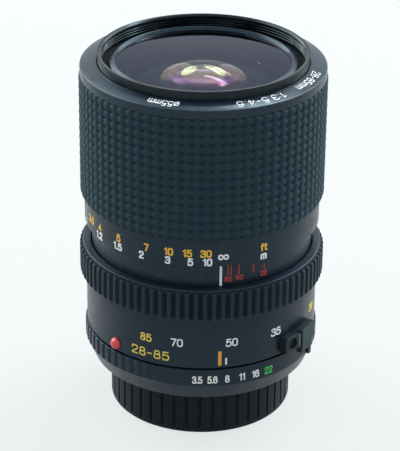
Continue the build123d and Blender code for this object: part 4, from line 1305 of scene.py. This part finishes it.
@dataclass
class ApertureUnit:
    """Aperture ring with its numbers, and what it drives."""

    body: str = "aperture"
    scale_radius: float = 31.95
    grip_radius: float = 32.35
    foot_radius: float = 30.06
    bore: float = 28.5
    foot_bore: float = 29.44
    bore_height: float = 18.08
    levels: Triple = (14.47, 19.05, 23.97)
    smooth_first: float = -19.0
    smooth_last: float = 62.0
    flute_pitch: float = 5.0
    flute_width: float = 1.05
    # Where sections stand beside each flute, in its half widths, and by both ends and the notch in degrees
    flute_sections: tuple[float, ...] = (
        -1.9, -1.4, -1.1, -0.9, -0.7, -0.35, 0, 0.35, 0.7, 0.9, 1.1, 1.4, 1.9)
    end_sections: tuple[float, ...] = (0.2, 0.6, 1.0, 1.3, 1.7, 2.2)
    notch_sections: tuple[float, ...] = (-2.2, -1.6, -1.3, -1.0, -0.6, 0, 0.6, 1.0, 1.3, 1.6, 2.2)
    notch: float = 27.0
    notch_depth: float = 0.5
    digit_height: float = 2.25
    number_height: float = 20.95
    digit_weight: float = 0.4
    numbers: tuple[tuple[str, float, float], ...] = (
        ("3.5", -1.25, 2.8), ("5.6", 6.15, 2.8), ("8", 13.4, 1.3), ("11", 20.96, 1.9), ("16", 28.07, 2.3))
    green_weight: float = 0.38
    smallest: tuple[str, float, float] = ("22", 35.63, 2.7)

    def build(self) -> None:
        """Build the aperture ring's pieces."""
        self.ring()
        keep(STEEL, "aperture_link")
        white = Lettering(self.body, WHITE_INK, self.digit_height, self.scale_radius, self.digit_weight)
        for number, (words, azimuth, width) in enumerate(self.numbers):
            white.write(f"stop_{number}", words, azimuth, self.number_height, width)
        words, azimuth, width = self.smallest
        green = replace(white, finish=GREEN_INK, weight=self.green_weight)
        green.write("stop_smallest", words, azimuth, self.number_height, width)

    def ring(self) -> None:
        """Ring with soft flutes, a smooth part for the numbers and a notch in its foot."""
        plain = self.smooth_last - self.smooth_first
        flutes = int((FULL_TURN - plain) / self.flute_pitch)
        pitch = (FULL_TURN - plain) / flutes
        half = math.degrees(0.5 * self.flute_width / self.grip_radius)
        centres = [self.smooth_last + pitch * number for number in range(1, flutes)]
        edges = [centre + half * share for centre in centres for share in self.flute_sections]
        edges += [self.smooth_first - pitch + half + step for step in self.end_sections]
        edges += [self.notch + step for step in self.notch_sections]
        edges += [self.smooth_first + 2.0 * step for step in range(1, 40)]
        turns = sorted({round(edge % FULL_TURN, 3) for edge in edges})
        foot, edge, top = self.levels
        grip, scale, low, bore = self.grip_radius, self.scale_radius, self.foot_radius, self.bore
        cone = [(low + (scale - low) * share, foot + (edge - foot) * share)
                for share in (0.14, 0.22, 0.38, 0.5, 0.58, 0.66, 0.85)]
        outline = [(bore, self.bore_height), (self.foot_bore, self.bore_height), (self.foot_bore, foot)]
        outline += rounded([(low, foot, 0.12), (scale + 0.01, edge - 0.02, 0.1), (grip, edge + 0.35, 0.15),
                            (grip, top, 0.4), (bore, top, 0)])
        outline[4:4] = cone

        def away(azimuth: float, centre: float) -> float:
            """Turn between two azimuths."""
            return abs((azimuth - centre + 180) % FULL_TURN - 180)

        def fluted(azimuth: float, radius: float, height: float) -> float:
            """Radius of the ring where it is fluted, smooth or notched.

            Args:
                azimuth: azimuth of the point.
                radius: its radius on the plain ring.
                height: height of the point.

            Returns:
                The radius there.
            """
            turn = (azimuth - self.smooth_first) % FULL_TURN
            if radius > scale + 0.02:
                if turn < plain + 0.5:
                    return scale + 0.02
                gap = min(away(azimuth, centre) for centre in centres) / half
                flute = (1 - smooth(0.55, 1.5, gap)) * smooth(edge, edge + 0.6, height)
                end = 1 - smooth(0.0, 1.6, min(turn - plain, FULL_TURN - turn))
                return radius - (radius - scale - 0.04) * flute - (radius - scale - 0.02) * end
            if foot + 0.5 < height < edge - 1.4:
                across = 1 - smooth(0.9, 1.4, away(azimuth, self.notch))
                up = smooth(foot + 0.6, foot + 1.0, height) * (1 - smooth(edge - 2.1, edge - 1.6, height))
                return radius - self.notch_depth * across * up
            return radius

        dress(lathe("aperture_ring_fluted", outline, turns, fluted, 50.0), self.body, APERTURE_ENAMEL,
              "aperture_ring")


@dataclass
class RearCap:
    """Grooved rear cap."""

    body: str = "rear_cap"
    radius: float = 25.23
    height: float = 16.1
    bore: float = 23.73
    floor: float = 2.0
    foot_rounding: float = 0.8
    grooves: int = 45
    groove_width: float = 0.75
    groove_depth: float = 0.5
    groove_start: Point = (0.9, 2.0)      # heights where the grooves begin and are full
    # Where sections stand beside each groove, in its half widths
    groove_sections: tuple[float, ...] = (
        -2.6, -1.6, -1.2, -1.0, -0.8, -0.4, 0, 0.4, 0.8, 1.0, 1.2, 1.6, 2.6)
    wall_rows: tuple[float, ...] = (1.0, 1.3, 1.6, 2.0, 2.6, 8.0)
    lug_inner: float = 22.1
    lug_low: float = 14.1
    lug_high: float = 15.5
    lug_turn: float = 50.0
    lugs: int = 3

    def build(self) -> None:
        """Build the grooved cup and its lugs."""
        pitch = FULL_TURN / self.grooves
        half = math.degrees(0.5 * self.groove_width / self.radius)
        turns = [pitch * number + half * share for number in range(self.grooves)
                 for share in self.groove_sections]
        foot = self.foot_rounding
        outline = [(0.0, 0.0)]
        outline += circle(foot, self.radius - foot, foot, [math.radians(18 * step - 90) for step in range(6)])
        outline += [(self.radius, height) for height in self.wall_rows]
        outline += [(self.radius, self.height - 0.35), (self.radius - 0.1, self.height - 0.1),
                    (self.radius - 0.35, self.height), (self.bore, self.height), (self.bore, self.floor),
                    (0.0, self.floor)]

        def grooved(azimuth: float, radius: float, height: float) -> float:
            """Radius of the cup where a groove runs.

            Args:
                azimuth: azimuth of the point.
                radius: its radius on the plain cup.
                height: height of the point.

            Returns:
                The radius there.
            """
            if radius < self.bore + 0.3 or height < self.groove_start[0]:
                return radius
            near = abs((azimuth / pitch + 0.5) % 1.0 - 0.5) * pitch / half
            depth = (1 - smooth(0.6, 1.3, near)) * smooth(*self.groove_start, height)
            return radius - self.groove_depth * depth

        dress(lathe("rear_cap_grooved", outline, turns, grooved, 50.0), self.body, CAP_PLASTIC, "rear_cap")
        inner, outer, low, high = self.lug_inner, self.bore + 0.05, self.lug_low, self.lug_high
        corners = ((inner, low), (outer, low), (outer, high), (inner, high))
        for number in range(self.lugs):
            dress(sector(f"rear_cap_lug_{number + 1}", corners, FULL_TURN * number / self.lugs,
                         self.lug_turn), self.body, CAP_PLASTIC)


@dataclass
class RearUnit:
    """Rear carriage, its cells and glasses, and the iris."""

    blades: int = 6
    glasses: tuple[int, ...] = tuple(range(4, 14))

    def build(self) -> None:
        """Finish what the rear carriage carries."""
        keep(INNER_BLACK, "rear_carriage", "iris_housing", "upper_cell", "lower_cell", "upper_cell_rings",
             "lower_cell_rings")
        keep(BRASS, "rear_rollers")
        keep(STEEL, "iris_link_rod")
        keep(IRIS_BLACK, "iris_drive_ring", *(f"iris_blade_{blade + 1}" for blade in range(self.blades)))
        keep(INNER_GLASS, *(f"glass_{number}" for number in self.glasses))


@dataclass(frozen=True)
class Lamp:
    """Soft lamp that looks at the lens."""

    name: str
    azimuth: float
    elevation: float
    width: float                          # metres
    length: float
    power: float                          # watts


@dataclass
class Studio:
    """Pale floor, soft lamps, surroundings and the camera."""

    image: tuple[int, int] = (400, 451)
    sensor: float = 36.0
    focal_pixels: float = 2063.1
    position: Triple = (1.39, -509.8, 304.1)
    pitch: float = 26.362
    yaw: float = -0.210
    roll: float = 0.600
    floor_reach: float = 4.0              # metres
    floor_colour: Triple = (0.125, 0.118, 0.114)
    glow_colour: Triple = (0.955, 0.99, 1.0)
    floor_glow: float = 0.725             # added where the camera, a mirror or glass sees the floor
    # Colour and strength of the world, for soft light and where it is seen
    soft: tuple[Triple, float] = ((0.9, 0.95, 1.0), 0.85)
    backdrop: tuple[Triple, float] = ((0.9, 0.96, 1.0), 1.0)
    lamps: tuple[Lamp, ...] = (
        Lamp("key", -124.0, 34.0, 2.4, 2.4, 60.0), Lamp("fill", 122.0, 32.0, 2.2, 2.2, 44.0),
        Lamp("window", 140.0, 52.0, 2.2, 0.3, 28.0))
    lamp_distance: float = 2.2            # metres
    lamp_aim: Triple = (0, 0, 0.05)       # metres
    lamp_colour: Triple = (0.84, 0.96, 1.0)

    def build(self) -> None:
        """Set up the whole studio."""
        self.floor()
        self.surroundings()
        for lamp in self.lamps:
            self.light(lamp)
        self.camera()
        bpy.context.scene.view_settings.view_transform = "Standard"

    def floor(self) -> None:
        """Plain pale floor."""
        reach = self.floor_reach
        mesh = bpy.data.meshes.new("floor")
        mesh.from_pydata([(-reach, -reach, 0), (reach, -reach, 0), (reach, reach, 0), (-reach, reach, 0)],
                         [], [(0, 1, 2, 3)])
        material = bpy.data.materials.new("pale_floor")
        mesh.materials.append(material)
        tree = Tree(material)
        paler = tuple(1.01 * part for part in self.floor_colour)
        tree.feed(tree.shader, {
            "Base Color": tree.mix(tree.spread(tree.noise(60.0, 2.0), 0, 1), self.floor_colour, paler),
            "Roughness": 0.9, "Specular IOR Level": 0.0, "Emission Color": self.glow_colour,
            "Emission Strength": tree.combine("MULTIPLY", tree.seen(), self.floor_glow)})
        shown("floor", mesh)

    def surroundings(self) -> None:
        """Pale world: bright where the camera, a mirror or glass sees it, plain for soft light."""
        world = bpy.data.worlds.new("pale_surroundings")
        bpy.context.scene.world = world
        tree = Tree(world, "ShaderNodeMixShader", "ShaderNodeOutputWorld")
        soft, backdrop = (tree.add("ShaderNodeBackground", {"Color": colour, "Strength": strength})
                          for colour, strength in (self.soft, self.backdrop))
        tree.feed(tree.shader, {"Fac": tree.seen(), 1: soft.outputs[0], 2: backdrop.outputs[0]})

    def light(self, lamp: Lamp) -> None:
        """Hang one large soft lamp up.

        Args:
            lamp: where it hangs, how large it is and how strong.
        """
        light = bpy.data.lights.new(lamp.name, "AREA")
        light.shape = "ELLIPSE"
        light.size, light.size_y = lamp.width, lamp.length
        light.energy = lamp.power
        light.color = self.lamp_colour
        holder = shown(lamp.name, light)
        turn, rise = math.radians(lamp.azimuth), math.radians(lamp.elevation)
        away = Vector((math.sin(turn) * math.cos(rise), -math.cos(turn) * math.cos(rise), math.sin(rise)))
        holder.location = Vector(self.lamp_aim) + away * self.lamp_distance
        holder.rotation_euler = away.to_track_quat("Z", "Y").to_euler()

    def camera(self) -> None:
        """Camera that takes the photograph's view."""
        pitch, yaw, roll = (math.radians(angle) for angle in (self.pitch, self.yaw, self.roll))
        forward = Vector((math.sin(yaw) * math.cos(pitch), math.cos(yaw) * math.cos(pitch), -math.sin(pitch)))
        right = forward.cross(Vector((0, 0, 1))).normalized()
        up = right.cross(forward)
        across = right * math.cos(roll) + up * math.sin(roll)
        above = up * math.cos(roll) - right * math.sin(roll)
        lens = bpy.data.cameras.new("camera")
        lens.sensor_width = self.sensor
        lens.lens = self.focal_pixels * self.sensor / max(self.image)
        lens.clip_start = 0.01
        holder = shown("camera", lens)
        turn = Matrix((across, above, -forward)).transposed()
        holder.matrix_world = Matrix.Translation(Vector(self.position) * MM) @ turn.to_4x4()
        bpy.context.scene.camera = holder


def main() -> None:
    """Build the studio and every sub-assembly."""
    logging.basicConfig(level=logging.INFO, format="%(message)s")
    for part in (Studio(), FrontUnit(), FocusUnit(), IndexSleeve(), ZoomUnit(), BarrelUnit(), MacroButton(),
                 ApertureUnit(), RearCap(), RearUnit()):
        log.info("building %s", type(part).__name__)
        part.build()


if __name__ == "__main__":
    main()
